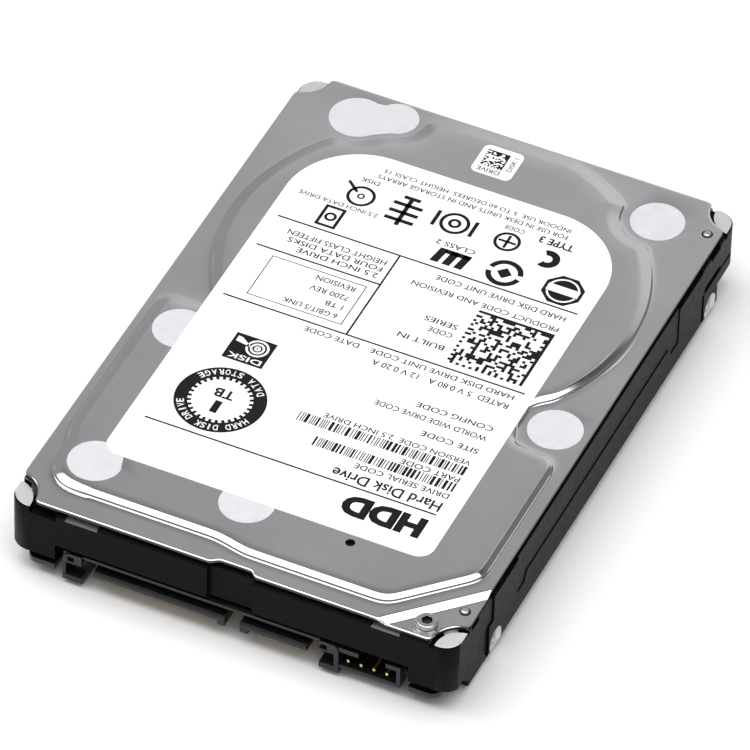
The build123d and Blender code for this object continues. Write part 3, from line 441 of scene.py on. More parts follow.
def slot_finishes():
    """One finish for each of the record's material slots, and the nickel plating."""
    steel = ((0.50, 0.50, 0.51), (0.66, 0.66, 0.67))
    film = ((0.66, 0.66, 0.67), (0.72, 0.72, 0.74))
    nylon = ((0.006, 0.0062, 0.007), (0.012, 0.0125, 0.014))
    ceramic = ((0.02, 0.018, 0.018), (0.05, 0.045, 0.045))
    made = {
        "casting": casting_paint(),
        "cover_steel": cover_steel(),
        "screw_steel": mottled("screw_plating", 0.1, 3.0, 0.6, (0.42, 0.41, 0.40), (0.62, 0.61, 0.59),
                               (0.2, 0.36), 0.002, Metallic=1.0),
        "seal_foil": mottled("seal_foil", 1.6, 4.0, 0.65, (0.66, 0.665, 0.69), (0.74, 0.745, 0.765),
                             (0.38, 0.52), 0.006, Metallic=0.3),
        "label": sheet_paper(),
        "filter": fibre_mat("filter_cloth", (0.52, 0.52, 0.48), (0.86, 0.86, 0.82)),
        "foam": open_foam(),
        "board": board_mask(),
        "plug_plastic": grained("plug_nylon", *nylon, (0.28, 0.40), 0.14, 0.006, level=0.4),
        "slider": grained("slider_ceramic", *ceramic, (0.1, 0.2), 0.08, 0.0005, level=0.8),
        "bearing_steel": turned("ground_steel", SPINDLE_AT, *steel, (0.1, 0.2), 0.08, 0.0006),
        "disk": turned("disk_film", SPINDLE_AT, *film, (0.03, 0.07), 1.2, 0.0001),
        "copper_wire": wound("stator_wire", SPINDLE_AT, 0.14 * MM),
        "flex": flex_film(),
    }
    for slot, look in GRAINS.items():
        made[slot] = grained(*look)
    return made


def dress_nodes():
    """Gives every CAD node the finish of its slot, and a few of them a finish of their own."""
    finishes = slot_finishes()
    for part in record["subparts"]:
        assign(finishes[part["material_slot"]], part["node"])
    assign(fibre_mat("breather_cloth", (0.004,) * 3, (0.015,) * 3), "breather_filter")
    assign(wound("voice_coil_wire", PIVOT_AT, 0.12 * MM), "voice_coil")
    assign(finishes["nickel"], "upper_yoke", "lower_yoke")
    bright = ((0.60, 0.60, 0.61), (0.80, 0.80, 0.81), (0.2, 0.34), 0.07, 0.0012)
    assign(turned("turned_hub", SPINDLE_AT, *bright), "spindle_hub", "disk_clamp", "spacer_1", "spacer_2",
           "spacer_3", "motor_sleeve", "motor_end_cap")
    assign(corner_plating(), "corner_screw")
    for name in ("controller_chip", "memory_chip", "flash_chip", "motor_driver_chip"):
        assign(chip_resin(name), name)
    return finishes


finishes = dress_nodes()


# ---- pressed cover
def welded(name):
    """A CAD node's mesh with its faces joined up."""
    bm = bmesh.new()
    bm.from_mesh(nodes[name].data)
    bmesh.ops.remove_doubles(bm, verts=bm.verts, dist=0.001 * MM)
    bm.normal_update()
    return bm


def rings(bm, first, second):
    """Closed rings of the edges between two kinds of face, as arrays of x, y, z."""
    links = {}
    for edge in bm.edges:
        if len(edge.link_faces) != 2:
            continue
        f, g = edge.link_faces
        if (first(f) and second(g)) or (first(g) and second(f)):
            a, b = edge.verts
            links.setdefault(a, set()).add(b)
            links.setdefault(b, set()).add(a)
    found = []
    while links:
        here = next(iter(links))
        ring = []
        while here is not None:
            ring.append(here)
            ahead = links.pop(here)
            here = next((v for v in ahead if v in links), None)
        found.append(np.array([v.co[:] for v in ring]))
    return found


def resampled(ring, step, smoothing):
    """The same closed ring with even steps, its sharp corners eased."""
    closed = np.vstack([ring, ring[:1]])
    along = np.concatenate([[0], np.cumsum(np.linalg.norm(np.diff(closed, axis=0), axis=1))])
    count = int(along[-1] / step)
    at = np.arange(count) * along[-1] / count
    even = np.column_stack([np.interp(at, along, closed[:, k]) for k in range(ring.shape[1])])
    for _ in range(smoothing):
        even = even * 0.5 + (np.roll(even, 1, axis=0) + np.roll(even, -1, axis=0)) * 0.25
    return even


def distance(points, ring):
    """Distance of each point from a closed ring in plan."""
    a = ring[:, :2]
    step = np.roll(a, -1, axis=0) - a
    best = np.full(len(points), np.inf)
    for start, d in zip(a, step):
        t = np.clip((points - start) @ d / (d @ d), 0, 1)
        best = np.minimum(best, np.linalg.norm(points - start - t[:, None] * d, axis=1))
    return best


def inside(points, ring):
    """Which points lie within a closed ring in plan."""
    x, y = points[:, 0], points[:, 1]
    within = np.zeros(len(points), bool)
    for (x0, y0), (x1, y1) in zip(ring[:, :2], np.roll(ring[:, :2], -1, axis=0)):
        crosses = (y0 > y) != (y1 > y)
        with np.errstate(divide="ignore", invalid="ignore"):
            within ^= crosses & (x < (x1 - x0) * (y - y0) / (y1 - y0) + x0)
    return within


def drawn_in(ring, inset):
    """The ring moved inwards, or outwards if inset is below 0, without the parts that would cross over."""
    flat = ring[:, :2]
    along = np.roll(flat, -1, axis=0) - np.roll(flat, 1, axis=0)
    along /= np.linalg.norm(along, axis=1)[:, None]
    normal = np.column_stack([-along[:, 1], along[:, 0]])
    if not inside(flat[:1] + normal[:1] * 0.01 * MM, ring)[0]:
        normal = -normal
    moved = flat + normal * inset
    return moved[distance(moved, ring) > abs(inset) * 0.985]


# the raised field's step, across it: how far inside its line in mm, and how steep it is there
STEP_AT = (-1.3, -0.45, -0.38, -0.2, -0.16, -0.06, -0.02, 0.5, 0.72, 0.82, 2.0)
STEP_SLOPE = (0.0, 0.08, 0.35, 0.50, 1.90, 1.90, 0.68, 0.60, 0.32, 0.08, 0.0)
STEP_IN = 0.45 * MM      # that line lies this far inside the foot of the CAD step
SOFTENING = 1.2          # how much wider it grows at the rear
SOFT_LEFT = 0.55         # share of that at the left edge
CORNER_AT = 0.35 * MM    # the lowered corner's step lies this far beyond the line in the CAD
CORNER_W = 1.3 * MM      # and is this wide
SHEET = 0.5 * MM         # the cover's thickness
ROLL_W = 0.45 * MM       # the punched edge is rolled down over this width, by ROLL_H
ROLL_H = 0.10 * MM
DIMPLE_R = 2.1 * MM      # flat floor of a screw dimple, with a wall DIMPLE_W wide
DIMPLE_W = 0.5 * MM

# lines that the sheet's mesh follows: insets from the foot of the step and offsets from the corner's
# step, in mm, and shares of the roll and of a dimple's wall
FOOT_LINES = (0.12, 0.24, 0.29, 0.34, 0.39, 0.45, 0.55, 0.7, 0.9, 1.1, 1.3, 1.5, 1.7, 2.0, 2.4, 2.9, 3.5,
              4.2, 5.0, 6.0)
OUTER_LINES = (0.3, 0.7, 1.2)
CORNER_LINES = (-1.7, -1.2, -0.8, -0.5, -0.3, -0.15, 0, 0.15, 0.3, 0.5, 0.8, 1.2, 1.8)
ROLL_LINES = (0.2, 0.4, 0.6, 0.8, 1.0)
DIMPLE_LINES = (0, 0.25, 0.5, 0.75, 1)


def smooth(t):
    """An even rise from 0 to 1 that starts and ends gently."""
    t = np.clip(t, 0, 1)
    return t * t * (3 - 2 * t)


def step_table():
    """Height of the pressed step, 0 to 1, at close intervals across it."""
    at = np.linspace(STEP_AT[0], STEP_AT[-1], 400)
    slope = np.interp(at, STEP_AT, STEP_SLOPE)
    rise = np.concatenate([[0], np.cumsum((slope[1:] + slope[:-1]) / 2)])
    return at * MM, rise / rise[-1]


STEP_TABLE = step_table()


def cover_shape():
    """Outlines and levels of the cover, read from its CAD solid.

    border and field are the levels of the edge and of the raised part, low that of the corner and the
    dimples; foot is the line where the raised part begins; corner_c is x - y along the corner's step."""
    bm = welded("top_cover")

    def middle(f):
        return f.calc_center_median().z / MM

    levels = {}
    for f in bm.faces:
        if f.normal.z > 0.999:
            z = round(middle(f), 2)
            levels[z] = levels.get(z, 0.0) + f.calc_area()
    border, field = sorted(sorted(levels, key=levels.get)[-2:])

    def flat(f):
        return f.normal.z > 0.999 and abs(middle(f) - border) < 0.02

    def slope(f):
        return 0.3 < f.normal.z < 0.95

    shape = {"border": border * MM, "field": field * MM}
    feet = rings(bm, flat, lambda f: slope(f) and middle(f) > border)
    shape["foot"] = max(feet, key=len)
    tops = rings(bm, lambda f: f.normal.z > 0.3, lambda f: abs(f.normal.z) < 0.05)
    outline = max(tops, key=lambda r: np.ptp(r[:, 0]))
    shape["outline"] = outline
    shape["holes"] = []
    for ring in tops:
        if ring is outline:
            continue
        centre = (ring[:, :2].max(0) + ring[:, :2].min(0)) / 2
        shape["holes"].append((centre, np.ptp(ring[:, 0]) / 2))
    # the lowered corner is the lowest flat of more than 5 mm2 that is near the border's level
    shape["low"] = min(z for z in levels if z > border - 1.0 and levels[z] > 5 * MM * MM) * MM
    line = np.vstack(rings(bm, flat, lambda f: slope(f) and middle(f) < border))
    shape["corner_c"] = float(np.mean(line[:, 0] - line[:, 1]))
    bm.free()
    return shape


def placed(name, data):
    """A new object in the scene."""
    made = bpy.data.objects.new(name, data)
    bpy.context.scene.collection.objects.link(made)
    return made


def new_mesh(name, verts, faces):
    mesh = bpy.data.meshes.new(name)
    mesh.from_pydata(verts, [], faces)
    return mesh


def circle(centre, radius, count, turn=0.0):
    angle = turn + np.arange(count) * 2 * math.pi / count
    return np.column_stack([centre[0] + radius * np.cos(angle), centre[1] + radius * np.sin(angle)])


def add_cover(finish):
    """The top cover as one pressed sheet: rounded steps, dimples and a rolled punched edge."""
    shape = cover_shape()
    foot = resampled(shape["foot"], 0.5 * MM, 6)
    outline = resampled(shape["outline"], 0.35 * MM, 1)
    dimples = [c for c, r in shape["holes"] if r > 2.0 * MM]
    holes = [(c, r) for c, r in shape["holes"] if r < 1.5 * MM]

    def height(points, rolled=True):
        depth = distance(points, foot) * np.where(inside(points, foot), 1, -1) - STEP_IN
        x, y = points[:, 0] / MM, points[:, 1] / MM
        # the step widens from the middle to the rear, and near the left edge
        gentle = np.maximum(smooth((y - 6) / 28), SOFT_LEFT * smooth((-x - 23) / 6))
        rise = np.interp(depth / (1 + SOFTENING * gentle), *STEP_TABLE)
        z = shape["border"] + (shape["field"] - shape["border"]) * rise
        beyond = (points[:, 0] - points[:, 1] - shape["corner_c"]) / math.sqrt(2) - CORNER_AT
        z -= (shape["border"] - shape["low"]) * smooth(beyond / CORNER_W + 0.5)
        for centre in dimples:
            off = np.linalg.norm(points - centre, axis=1)
            share = smooth((DIMPLE_R + DIMPLE_W - off) / DIMPLE_W)
            z = z * (1 - share) + shape["low"] * share
        if rolled:
            # the edge is rolled less along the two long sides
            edge = np.clip(1 - distance(points, outline) / ROLL_W, 0, 1)
            z -= ROLL_H * edge ** 3 * (1 - 0.8 * smooth((np.abs(x) - 32.5) / 1.5))
        return z

    lines = [outline]
    lines += [drawn_in(outline, ROLL_W * k) for k in ROLL_LINES]
    lines.append(foot[:, :2])
    lines += [drawn_in(foot, k * MM) for k in FOOT_LINES]
    outward = drawn_in(foot, -0.3 * MM)
    lines += [drawn_in(outward, -k * MM) for k in OUTER_LINES]
    for centre, radius in holes:
        lines.append(circle(centre, radius, 32))
    for centre in dimples:
        lines += [circle(centre, DIMPLE_R + DIMPLE_W * k, 48) for k in DIMPLE_LINES]
    verts, edges = [], []
    for line in lines:
        start = len(verts)
        verts += [Vector(p[:2]) for p in line]
        count = len(line)
        # a wide gap is where part of the line was left out
        gap = np.linalg.norm(line[:, :2] - np.roll(line[:, :2], -1, axis=0), axis=1)
        edges += [(start + k, start + (k + 1) % count) for k in range(count) if gap[k] < 1.5 * MM]
    for offset in CORNER_LINES:
        c = shape["corner_c"] + (CORNER_AT + offset * MM) * math.sqrt(2)
        start = len(verts)
        xs = np.linspace(18 * MM, 38 * MM, 40)
        verts += [Vector((x, x - c)) for x in xs]
        edges += [(start + k, start + k + 1) for k in range(39)]
    points, _, faces, _, _, _ = delaunay_2d_cdt(verts, edges, [], 0, 1e-7)
    plan = np.array([p[:] for p in points])
    faces = np.array(faces)
    centres = plan[faces].mean(axis=1)
    keep = inside(centres, outline)
    for centre, radius in holes:
        keep &= np.linalg.norm(centres - centre, axis=1) > radius * 0.99
    used, renumbered = np.unique(faces[keep], return_inverse=True)
    faces, plan = renumbered.reshape(-1, 3), plan[used]
    flip = np.cross(plan[faces[:, 1]] - plan[faces[:, 0]], plan[faces[:, 2]] - plan[faces[:, 0]]) < 0
    faces[flip] = faces[flip][:, ::-1]
    top = height(plan)
    bottom = height(plan, rolled=False) - SHEET
    count = len(plan)
    verts = [(*p, z) for p, z in zip(plan, top)] + [(*p, z) for p, z in zip(plan, bottom)]
    upper = [tuple(int(v) for v in f) for f in faces]
    lower = [(a + count, c + count, b + count) for a, b, c in upper]
    sides = [(a, b) for f in upper for a, b in zip(f, f[1:] + f[:1])]
    joined = set(sides)
    walls = [(b, a, a + count, b + count) for a, b in sides if (b, a) not in joined]
    mesh = new_mesh("pressed_cover", verts, upper + lower + walls)
    step = 0.01 * MM
    dx = (height(plan + (step, 0)) - height(plan - (step, 0))) / (2 * step)
    dy = (height(plan + (0, step)) - height(plan - (0, step))) / (2 * step)
    slopes = np.column_stack([-dx, -dy, np.ones(count)])
    slopes /= np.linalg.norm(slopes, axis=1)[:, None]
    mesh.polygons.foreach_set("use_smooth", [True] * len(mesh.polygons))
    below = -slopes[np.array(lower).ravel() - count]
    around = np.repeat([p.normal[:] for p in mesh.polygons[2 * len(upper):]], 4, axis=0)
    normals = np.vstack([slopes[faces.ravel()], below, around])
    mesh.normals_split_custom_set([tuple(n) for n in normals])
    made = placed("pressed_cover", mesh)
    mesh.materials.append(finish)
    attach(made, "casing")
    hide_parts("top_cover")


# ---- printing
INK = 0                  # material indices of the print
PAPER = 1
INK_T = 0.004 * MM       # thickness of the ink; paper-coloured print on top of it is twice as high
CAPTION = 0.012          # widening of the strokes of small words
SHEET_DROP = 0.012 * MM  # the label's sheet is lowered by this, so that its print stays inside the height


def corners(x0, y0, x1, y1):
    return [(x0, y0), (x1, y0), (x1, y1), (x0, y1)]


def lettering(text, weight):
    """A flat mesh of some words in the built-in typeface at size 1."""
    curve = bpy.data.curves.new("words", "FONT")
    curve.body = text
    # the font's M closes up when its strokes are widened
    curve.offset = 0.0 if "M" in text else weight
    curve.resolution_u = 3
    holder = bpy.data.objects.new("words", curve)
    mesh = bpy.data.meshes.new_from_object(holder)
    bpy.data.objects.remove(holder)
    bpy.data.curves.remove(curve)
    return mesh


class Print:
    """Thin printed shapes gathered into one mesh.

    Places are in millimetres on the page as it is read: x runs to the right from the page's left
    edge and y runs down from its top. The page lies on the cover with its top towards the plug."""

    def __init__(self, node_name, level):
        low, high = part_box(node_name)
        self.left, self.top = high.x, low.y
        self.level = level
        self.bm = bmesh.new()

    def point(self, x, y, z):
        return Vector((self.left - x * MM, self.top + y * MM, z))

    def prism(self, rim, tone=INK, inner=None):
        """A thin solid over a closed outline, or over the band between it and an inner outline."""
        z0 = self.level
        z1 = self.level + INK_T * (1 + tone)
        rows = [[self.bm.verts.new(self.point(x, y, z)) for x, y in line]
                for line in ([rim] if inner is None else [rim, inner]) for z in (z0, z1)]
        count = len(rim)
        sides = []
        for k in range(count):
            n = (k + 1) % count
            sides.append((rows[0][k], rows[0][n], rows[1][n], rows[1][k]))
            if inner is not None:
                sides.append((rows[2][n], rows[2][k], rows[3][k], rows[3][n]))
                sides.append((rows[1][k], rows[1][n], rows[3][n], rows[3][k]))
                sides.append((rows[0][n], rows[0][k], rows[2][k], rows[2][n]))
        if inner is None:
            sides = [rows[1], rows[0][::-1]] + sides
        made = [self.bm.faces.new(side) for side in sides]
        for face in made:
            face.material_index = tone

    def bar(self, x0, y0, x1, y1, tone=INK):
        self.prism(corners(x0, y0, x1, y1), tone)

    def frame(self, x0, y0, x1, y1, weight):
        inner = corners(x0 + weight, y0 + weight, x1 - weight, y1 - weight)
        self.prism(corners(x0, y0, x1, y1), inner=inner)

    def rule(self, x0, y0, x1, y1, weight):
        """A straight line of a given weight, in any direction."""
        length = math.hypot(x1 - x0, y1 - y0)
        ox, oy = (y1 - y0) / length * weight / 2, (x0 - x1) / length * weight / 2
        self.prism([(x0 + ox, y0 + oy), (x1 + ox, y1 + oy), (x1 - ox, y1 - oy), (x0 - ox, y0 - oy)])

    def ring(self, x, y, outer, inner, sides=48):
        self.prism(circle((x, y), outer, sides), inner=circle((x, y), inner, sides))

    def arc(self, x, y, outer, inner, start, end, tone=INK):
        """Part of a ring; angles in degrees, clockwise on the page from the right."""
        steps = max(4, int(abs(end - start) / 8))
        angles = [math.radians(start + (end - start) * k / steps) for k in range(steps + 1)]
        far, near = ([(x + r * math.cos(a), y + r * math.sin(a)) for a in angles] for r in (outer, inner))
        self.prism(far + near[::-1], tone)

    def words(self, text, x, y, height, width, weight=CAPTION, turn=0.0, tone=INK):
        """Words with their top left corner at x, y, stretched to a height of capitals and a width."""
        mesh = lettering(text, weight)
        xs = [v.co.x for v in mesh.vertices]
        across = width / (max(xs) - min(xs))
        up = height / CAP_HEIGHT
        cos, sin = math.cos(turn), math.sin(turn)
        level = self.level + INK_T * (1 + tone)
        glyphs = bmesh.new()
        glyphs.from_mesh(mesh)
        bmesh.ops.remove_doubles(glyphs, verts=glyphs.verts, dist=1e-5)
        for v in glyphs.verts:
            u, w = (v.co.x - min(xs)) * across, height - v.co.y * up
            v.co = self.point(x + u * cos - w * sin, y + u * sin + w * cos, level)
        extruded = bmesh.ops.extrude_face_region(glyphs, geom=glyphs.faces[:])
        for v in (e for e in extruded["geom"] if isinstance(e, bmesh.types.BMVert)):
            v.co.z = self.level
        bmesh.ops.recalc_face_normals(glyphs, faces=glyphs.faces)
        for face in glyphs.faces:
            face.material_index = tone
        glyphs.to_mesh(mesh)
        glyphs.free()
        self.bm.from_mesh(mesh)
        bpy.data.meshes.remove(mesh)

    def ring_words(self, text, x, y, radius, height, start, end, outward):
        """Pale letters round a ring, from one angle to another; radius is their inner edge."""
        for k, letter in enumerate(text):
            if letter == " ":
                continue
            a = math.radians(start + (end - start) * (k + 0.5) / len(text))
            turn = a + math.pi / 2 if outward else a - math.pi / 2
            wide = height * (0.28 if letter == "I" else 0.72)
            edge = radius + height if outward else radius
            x0 = x + edge * math.cos(a) - wide / 2 * math.cos(turn)
            y0 = y + edge * math.sin(a) - wide / 2 * math.sin(turn)
            self.words(letter, x0, y0, height, wide, 0.02, turn, PAPER)

    def bar_code(self, x0, y0, x1, y1, chance):
        """Bars and gaps of random widths."""
        module = 0.16
        x = x0
        while x < x1 - module:
            wide = module * chance.choice((1, 1, 1, 2, 3))
            self.bar(x, y0, min(x + wide, x1), y1)
            x += wide + module * chance.choice((1, 1, 1, 2, 2))

    def square_code(self, x0, y0, side, count, chance):
        """A square field of cells with two solid borders and two dashed ones."""
        cell = side / count
        for row in range(count):
            start = None
            for col in range(count + 1):
                on = col < count and (
                    col == 0 or row == count - 1 or (row == 0 and col % 2 == 0)
                    or (col == count - 1 and row % 2 == 1)
                    or (0 < row < count - 1 and 0 < col < count - 1 and chance.random() < 0.5))
                if on and start is None:
                    start = col
                if not on and start is not None:
                    self.bar(x0 + start * cell, y0 + row * cell, x0 + col * cell, y0 + (row + 1) * cell)
                    start = None

    def finish(self, name, ink, paper):
        """Puts the print into the scene as one piece on the casing."""
        bmesh.ops.recalc_face_normals(self.bm, faces=self.bm.faces)
        mesh = bpy.data.meshes.new(name)
        self.bm.to_mesh(mesh)
        self.bm.free()
        mesh.materials.append(ink)
        mesh.materials.append(paper)
        made = placed(name, mesh)
        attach(made, "casing")


CAP_HEIGHT = max(v.co.y for v in lettering("H", 0.0).vertices)


def print_drive_data(p, chance):
    """Upper part of the label: title, numbers with their bar codes, and ratings."""
    p.words("HDD", 3.1, 3.6, 3.5, 12.6, 0.06)
    p.rule(2.7, 8.8, 48.5, 8.8, 0.3)
    p.words("Hard Disk Drive", 2.7, 9.5, 1.85, 17.0, 0.018)
    p.words("DRIVE SERIAL CODE", 2.6, 12.4, 1.0, 14.7)
    p.bar_code(2.6, 14.0, 24.7, 15.9, chance)
    p.words("PART CODE", 2.6, 16.1, 1.0, 9.2)
    p.bar_code(2.6, 17.7, 29.1, 19.6, chance)
    p.words("VERSION CODE  2.5 INCH DRIVE", 2.6, 19.9, 0.95, 23.0)
    p.words("SITE CODE", 2.6, 22.6, 1.0, 9.0)
    p.words("WORLD WIDE DRIVE CODE", 2.6, 25.5, 1.0, 17.6)
    p.words("CONFIG CODE", 2.6, 27.7, 1.0, 12.0)
    p.words("RATED  5 V 0.80 A   12 V 0.20 A", 2.6, 32.9, 1.05, 21.5)
    p.words("HARD DISK DRIVE UNIT CODE", 2.6, 35.0, 0.95, 22.7)
    p.words("DATE CODE", 27.1, 35.0, 0.95, 8.7)


def print_badge(p):
    """Round capacity badge: a dark ring with a toothed inner edge and pale lettering round it."""
    x, y, outer, inner = 40.25, 16.6, 6.75, 4.75
    p.ring(x, y, outer, inner, 96)
    for k in range(30):
        p.arc(x, y, inner + 0.05, inner - 0.55, 12.0 * k - 3.0, 12.0 * k + 3.0)
    p.ring_words("HARD DISK DRIVE", x, y, 5.25, 1.05, -158, -22, True)
    p.ring_words("DATA STORAGE", x, y, 5.3, 1.05, 148, 32, False)
    p.words("1", x - 0.55, y - 2.7, 2.3, 1.1, 0.035)
    p.words("TB", x - 1.55, y + 0.5, 1.7, 3.1, 0.03)


def print_pictogram(p):
    """A dark plate with a light outline of a disk and its arm."""
    x0, y0, x1, y1 = 37.7, 24.9, 44.1, 30.5
    p.bar(x0, y0, x1, y1)
    p.words("DISK", x0 + 0.5, y0 + 0.45, 1.0, 5.4, 0.02, tone=PAPER)
    x, y = x0 + 2.3, y0 + 3.6
    for radius in (1.75, 1.1, 0.5):
        p.arc(x, y, radius, radius - 0.34, 0, 352, PAPER)
    p.prism([(x1 - 1.2, y1 - 0.7), (x1 - 0.5, y1 - 0.6), (x1 - 0.5, y1 - 1.7), (x + 0.9, y - 0.1)], PAPER)


def print_table(p, chance):
    """Ruled part of the label: square code, product lines, the small box and notes."""
    p.rule(1.5, 36.9, 49.5, 36.9, 0.3)
    p.rule(1.5, 55.5, 49.5, 55.5, 0.3)
    p.rule(29.8, 48.6, 49.7, 48.6, 0.3)
    p.rule(29.8, 36.9, 29.8, 55.5, 0.3)
    p.square_code(2.6, 38.1, 12.0, 24, chance)
    for text, y, width in (("BUILT IN", 39.9, 7.3), ("CODE", 42.8, 3.8), ("SERIES", 44.7, 5.2)):
        p.words(text, 15.9, y, 1.0, width)
    p.words("PRODUCT CODE AND REVISION", 2.6, 50.7, 0.95, 23.3)
    p.words("HARD DISK DRIVE UNIT CODE", 2.6, 53.2, 1.0, 20.6)
    p.frame(31.3, 38.4, 46.5, 47.4, 0.16)
    for text, x, y, width in (("6 GBIT/S LINK", 32.6, 39.2, 8.7), ("1 TB", 32.6, 41.2, 2.8),
                              ("7200 REV", 32.6, 43.3, 6.2), ("REVISION", 32.6, 45.5, 6.2),
                              ("2.5 INCH DRIVE", 30.9, 49.6, 13.0), ("FOUR DATA DISKS", 30.9, 51.1, 15.1),
                              ("HEIGHT CLASS FIFTEEN", 30.9, 52.6, 15.8)):
        p.words(text, x, y, 1.0, width)


def print_marks(p):
    """Plain pictograms in the place of approval marks, with short captions and two fine lines."""
    # octagon with a pale band
    p.prism(circle((5.4, 59.1), 3.25, 8, math.pi / 8))
    p.bar(2.9, 58.4, 7.9, 59.9, PAPER)
    p.words("TYPE", 3.3, 58.65, 1.0, 4.2, 0.03)
    p.arc(5.4, 59.1, 2.5, 2.2, 200, 340, PAPER)
    p.arc(5.4, 59.1, 2.5, 2.2, 20, 160, PAPER)
    # broken ring round a diamond
    p.arc(14.6, 58.8, 2.8, 1.95, 12, 172)
    p.arc(14.6, 58.8, 2.8, 1.95, 192, 352)
    p.prism([(14.6, 57.6), (15.8, 58.8), (14.6, 60.0), (13.4, 58.8)])
    # heavy slanted strokes
    for x in (20.6, 22.5, 24.4):
        p.prism([(x, 56.6), (x + 1.25, 56.6), (x + 0.75, 59.8), (x - 0.5, 59.8)])
    p.bar(20.3, 58.9, 24.2, 59.8)
    p.words("CLASS 2", 20.2, 60.3, 0.95, 6.2)
    # disk in a bracket
    p.frame(40.8, 56.3, 44.1, 60.9, 0.5)
    p.ring(42.45, 58.6, 0.95, 0.5, 24)
    # half disc and its caption
    p.arc(10.2, 64.3, 1.9, 0.75, 60, 300)
    p.words("TYPE 3", 7.6, 67.2, 1.3, 5.4, 0.03)
    # ring with a cross
    p.ring(17.0, 65.1, 2.05, 1.55, 40)
    p.rule(15.6, 65.1, 18.4, 65.1, 0.45)
    p.rule(17.0, 63.7, 17.0, 66.5, 0.45)
    p.words("CODE", 15.5, 67.6, 0.85, 3.2)
    # disk with its bore, between two posts
    p.ring(25.5, 65.3, 2.3, 1.75, 48)
    p.ring(25.5, 65.3, 1.0, 0.5, 32)
    for x in (22.2, 28.2):
        p.bar(x, 63.6, x + 0.6, 67.0)
    # stack of disks on a spindle
    for y in (62.0, 63.7, 65.4):
        p.bar(30.9, y, 35.5, y + 0.7)
    p.rule(33.2, 61.2, 33.2, 67.0, 0.7)
    p.bar(31.9, 67.0, 34.5, 67.7)
    # disk and arm
    p.ring(40.3, 64.6, 2.2, 1.7, 48)
    p.ring(40.3, 64.6, 0.6, 0.3, 24)
    p.rule(43.3, 67.0, 41.2, 65.2, 0.5)
    p.words("2.5 INCH DATA DRIVE", 36.3, 61.3, 0.8, 12.7)
    p.words("DISK", 38.9, 67.7, 0.85, 3.0)
    p.words("FOR USE IN DESK UNITS AND IN STORAGE ARRAYS", 9.4, 69.3, 0.85, 30.5)
    p.words("INDOOR USE  5 TO 60 DEGREES  HEIGHT CLASS 15", 9.5, 70.8, 0.8, 30.0)


def add_printing(ink, paper):
    """The words, codes and pictograms on both labels."""
    chance = random.Random(11)
    page = Print("main_label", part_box("main_label")[1].z - SHEET_DROP)
    print_drive_data(page, chance)
    print_badge(page)
    print_pictogram(page)
    print_table(page, chance)
    print_marks(page)
    page.finish("label_print", ink, paper)
    tag = Print("serial_label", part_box("serial_label")[1].z)
    tag.square_code(2.0, 1.75, 3.6, 14, chance)
    tag.words("DRIVE", 2.0, 0.55, 0.85, 3.6)
    tag.words("DISK 1", 1.35, 2.0, 0.75, 3.2, turn=math.pi / 2)
    tag.finish("serial_print", ink, paper)


# ---- edges
def soften(name, width):
    """Rounds a CAD node's sharp edges a little."""
    node = nodes[name]
    weld = node.modifiers.new("weld", "WELD")
    weld.merge_threshold = 0.002 * MM
    edge = node.modifiers.new("edge_round", "BEVEL")
    edge.width = width
    edge.segments = 2
    edge.limit_method = "ANGLE"
    edge.angle_limit = math.radians(28)
    edge.harden_normals = True


def add_label(paper):
    """The main label, its top a little lower than its solid's."""
    bm = welded("main_label")
    top = max(v.co.z for v in bm.verts)
    for v in bm.verts:
        if v.co.z > top - 0.01 * MM:
            v.co.z = top - SHEET_DROP
    mesh = bpy.data.meshes.new("label_sheet")
    bm.to_mesh(mesh)
    bm.free()
    made = placed("label_sheet", mesh)
    mesh.materials.append(paper)
    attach(made, "casing")
    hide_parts("main_label")


add_label(finishes["label"])
black_ink = mottled("printed_ink", 0.3, 3.0, 0.6, (0.0035, 0.0035, 0.004), (0.009, 0.009, 0.010), (0.5, 0.65),
                    Specular_IOR_Level=0.15)
add_printing(black_ink, finishes["label"])
add_cover(finishes["cover_steel"])

# nodes whose edges are rounded, by how much
EDGE_ROUNDING = {
    0.12 * MM: ("base_casting",),
    0.08 * MM: ("sata_housing", "corner_screw", "locating_pins", "board_screws", "cover_screws",
                "spindle_hub", "disk_clamp", "head_ramp", "recirculation_filter", "crash_stops",
                "inertia_latch"),
    0.05 * MM: ("pcb", "board_header", "jumper_pins", "controller_chip", "memory_chip", "flash_chip",
                "upper_yoke", "lower_yoke", "upper_magnets", "lower_magnets", "flex_bracket", "coil_frame",
                "voice_coil", "actuator_arms", "clamp_screws", "foam_pad", "breather_filter"),
}
for radius, names in EDGE_ROUNDING.items():
    for name in names:
        soften(name, radius)


# ---- studio
def add_camera():
    """Looks at TARGET from AZIMUTH and ELEVATION, turned by ROLL."""
    back = Vector((math.sin(AZIMUTH) * math.cos(ELEVATION), -math.cos(AZIMUTH) * math.cos(ELEVATION),
                   math.sin(ELEVATION)))
    right = (-back).cross(Vector((0, 0, 1))).normalized()
    up = right.cross(-back)
    x_axis = right * math.cos(ROLL) + up * math.sin(ROLL)
    y_axis = up * math.cos(ROLL) - right * math.sin(ROLL)
    data = bpy.data.cameras.new("camera")
    data.lens = LENS_MM
    data.sensor_width = 36.0
    data.clip_start = 0.05
    camera = placed("camera", data)
    turn = Matrix((x_axis, y_axis, back)).transposed().to_4x4()
    camera.matrix_world = Matrix.Translation(TARGET + back * DISTANCE) @ turn
    bpy.context.scene.camera = camera


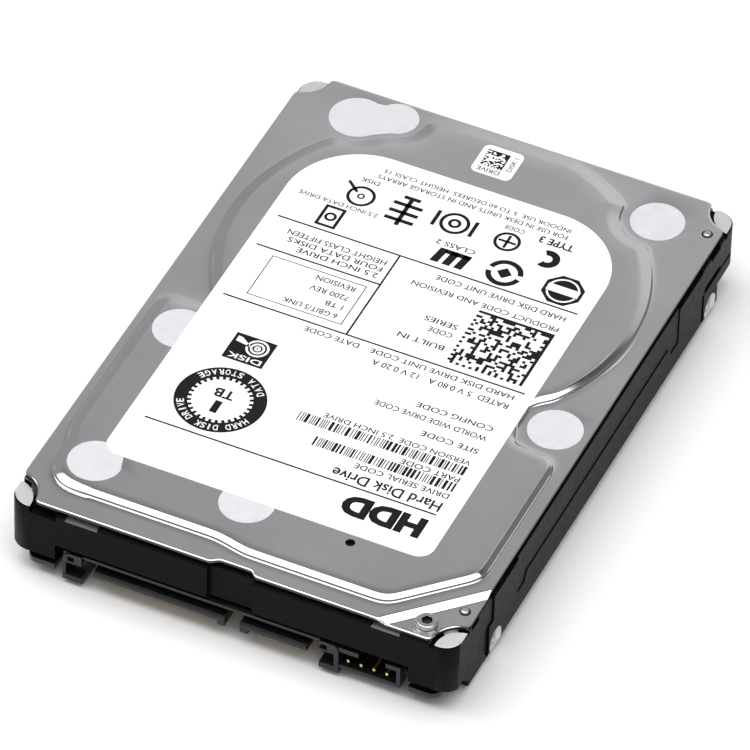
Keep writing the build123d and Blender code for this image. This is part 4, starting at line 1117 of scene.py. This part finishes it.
def add_floor():
    """A plain floor, just clear of the drive's rails."""
    verts = [(x, y, -0.02 * MM) for x, y in corners(-1.5, -1.5, 1.5, 1.5)]
    floor = placed("floor", new_mesh("floor", verts, [(0, 1, 2, 3)]))
    g = Graph("floor", Roughness=0.9, Specular_IOR_Level=0.1, Base_Color=(0.93, 0.93, 0.93))
    floor.data.materials.append(g.material)


def add_overhead():
    """One wide soft light that points straight down, a little to the left of the drive."""
    data = bpy.data.lights.new("overhead", "AREA")
    data.shape = "RECTANGLE"
    data.size = 1.2
    data.size_y = 0.5
    data.energy = 4.9
    placed("overhead", data).location = (-0.12, -0.04, 0.6)


class Sky(Graph):
    """The node tree of the studio's surroundings; place is the direction looked in."""

    def __init__(self):
        world = bpy.data.worlds.new("studio")
        world.use_nodes = True
        self.tree = world.node_tree
        self.shader = self.tree.nodes["Background"]
        self.place = self.tree.nodes.new("ShaderNodeTexCoord").outputs["Generated"]
        bpy.context.scene.world = world


def add_surroundings():
    """A pale back wall that falls off upwards, a bright softbox high on it, and a front that is
    dark below and pale above. Heights are the z of a direction."""
    softbox_z = 0.815
    softbox_level = 0.75
    sky = Sky()
    x, y, z = sky.axes()
    wall = sky.between(z, 0.60, 0.86, 0.85, 0.14)
    rear = sky.between(y, -0.35, 0.30, smooth=True)
    left = sky.between(x, -0.55, -0.20, 0.55, 1.07)
    side = sky.between(x, 0.20, 0.36, 1.0, 0.30, smooth=True)
    back = sky.times(sky.times(wall, rear), sky.times(left, side))
    across = sky.absolute(x)
    up = sky.absolute(sky.minus(z, softbox_z))
    strip = sky.times(sky.between(across, 0.05, 0.11, 1.0, 0.0, smooth=True),
                     sky.between(up, 0.05, 0.072, 1.0, 0.0, smooth=True))
    strip = sky.times(strip, rear)
    front = sky.between(z, 0.52, 0.64, 0.28, 0.90, smooth=True)
    front = sky.times(sky.inverse(rear), front)
    level = sky.plus(sky.plus(back, front), sky.times(strip, softbox_level))
    sky.put(sky.shader.inputs["Color"], (1.0, 1.0, 1.0))
    sky.put(sky.shader.inputs["Strength"], level)


add_camera()
add_floor()
add_overhead()
add_surroundings()
bpy.context.scene.view_settings.view_transform = "Standard"
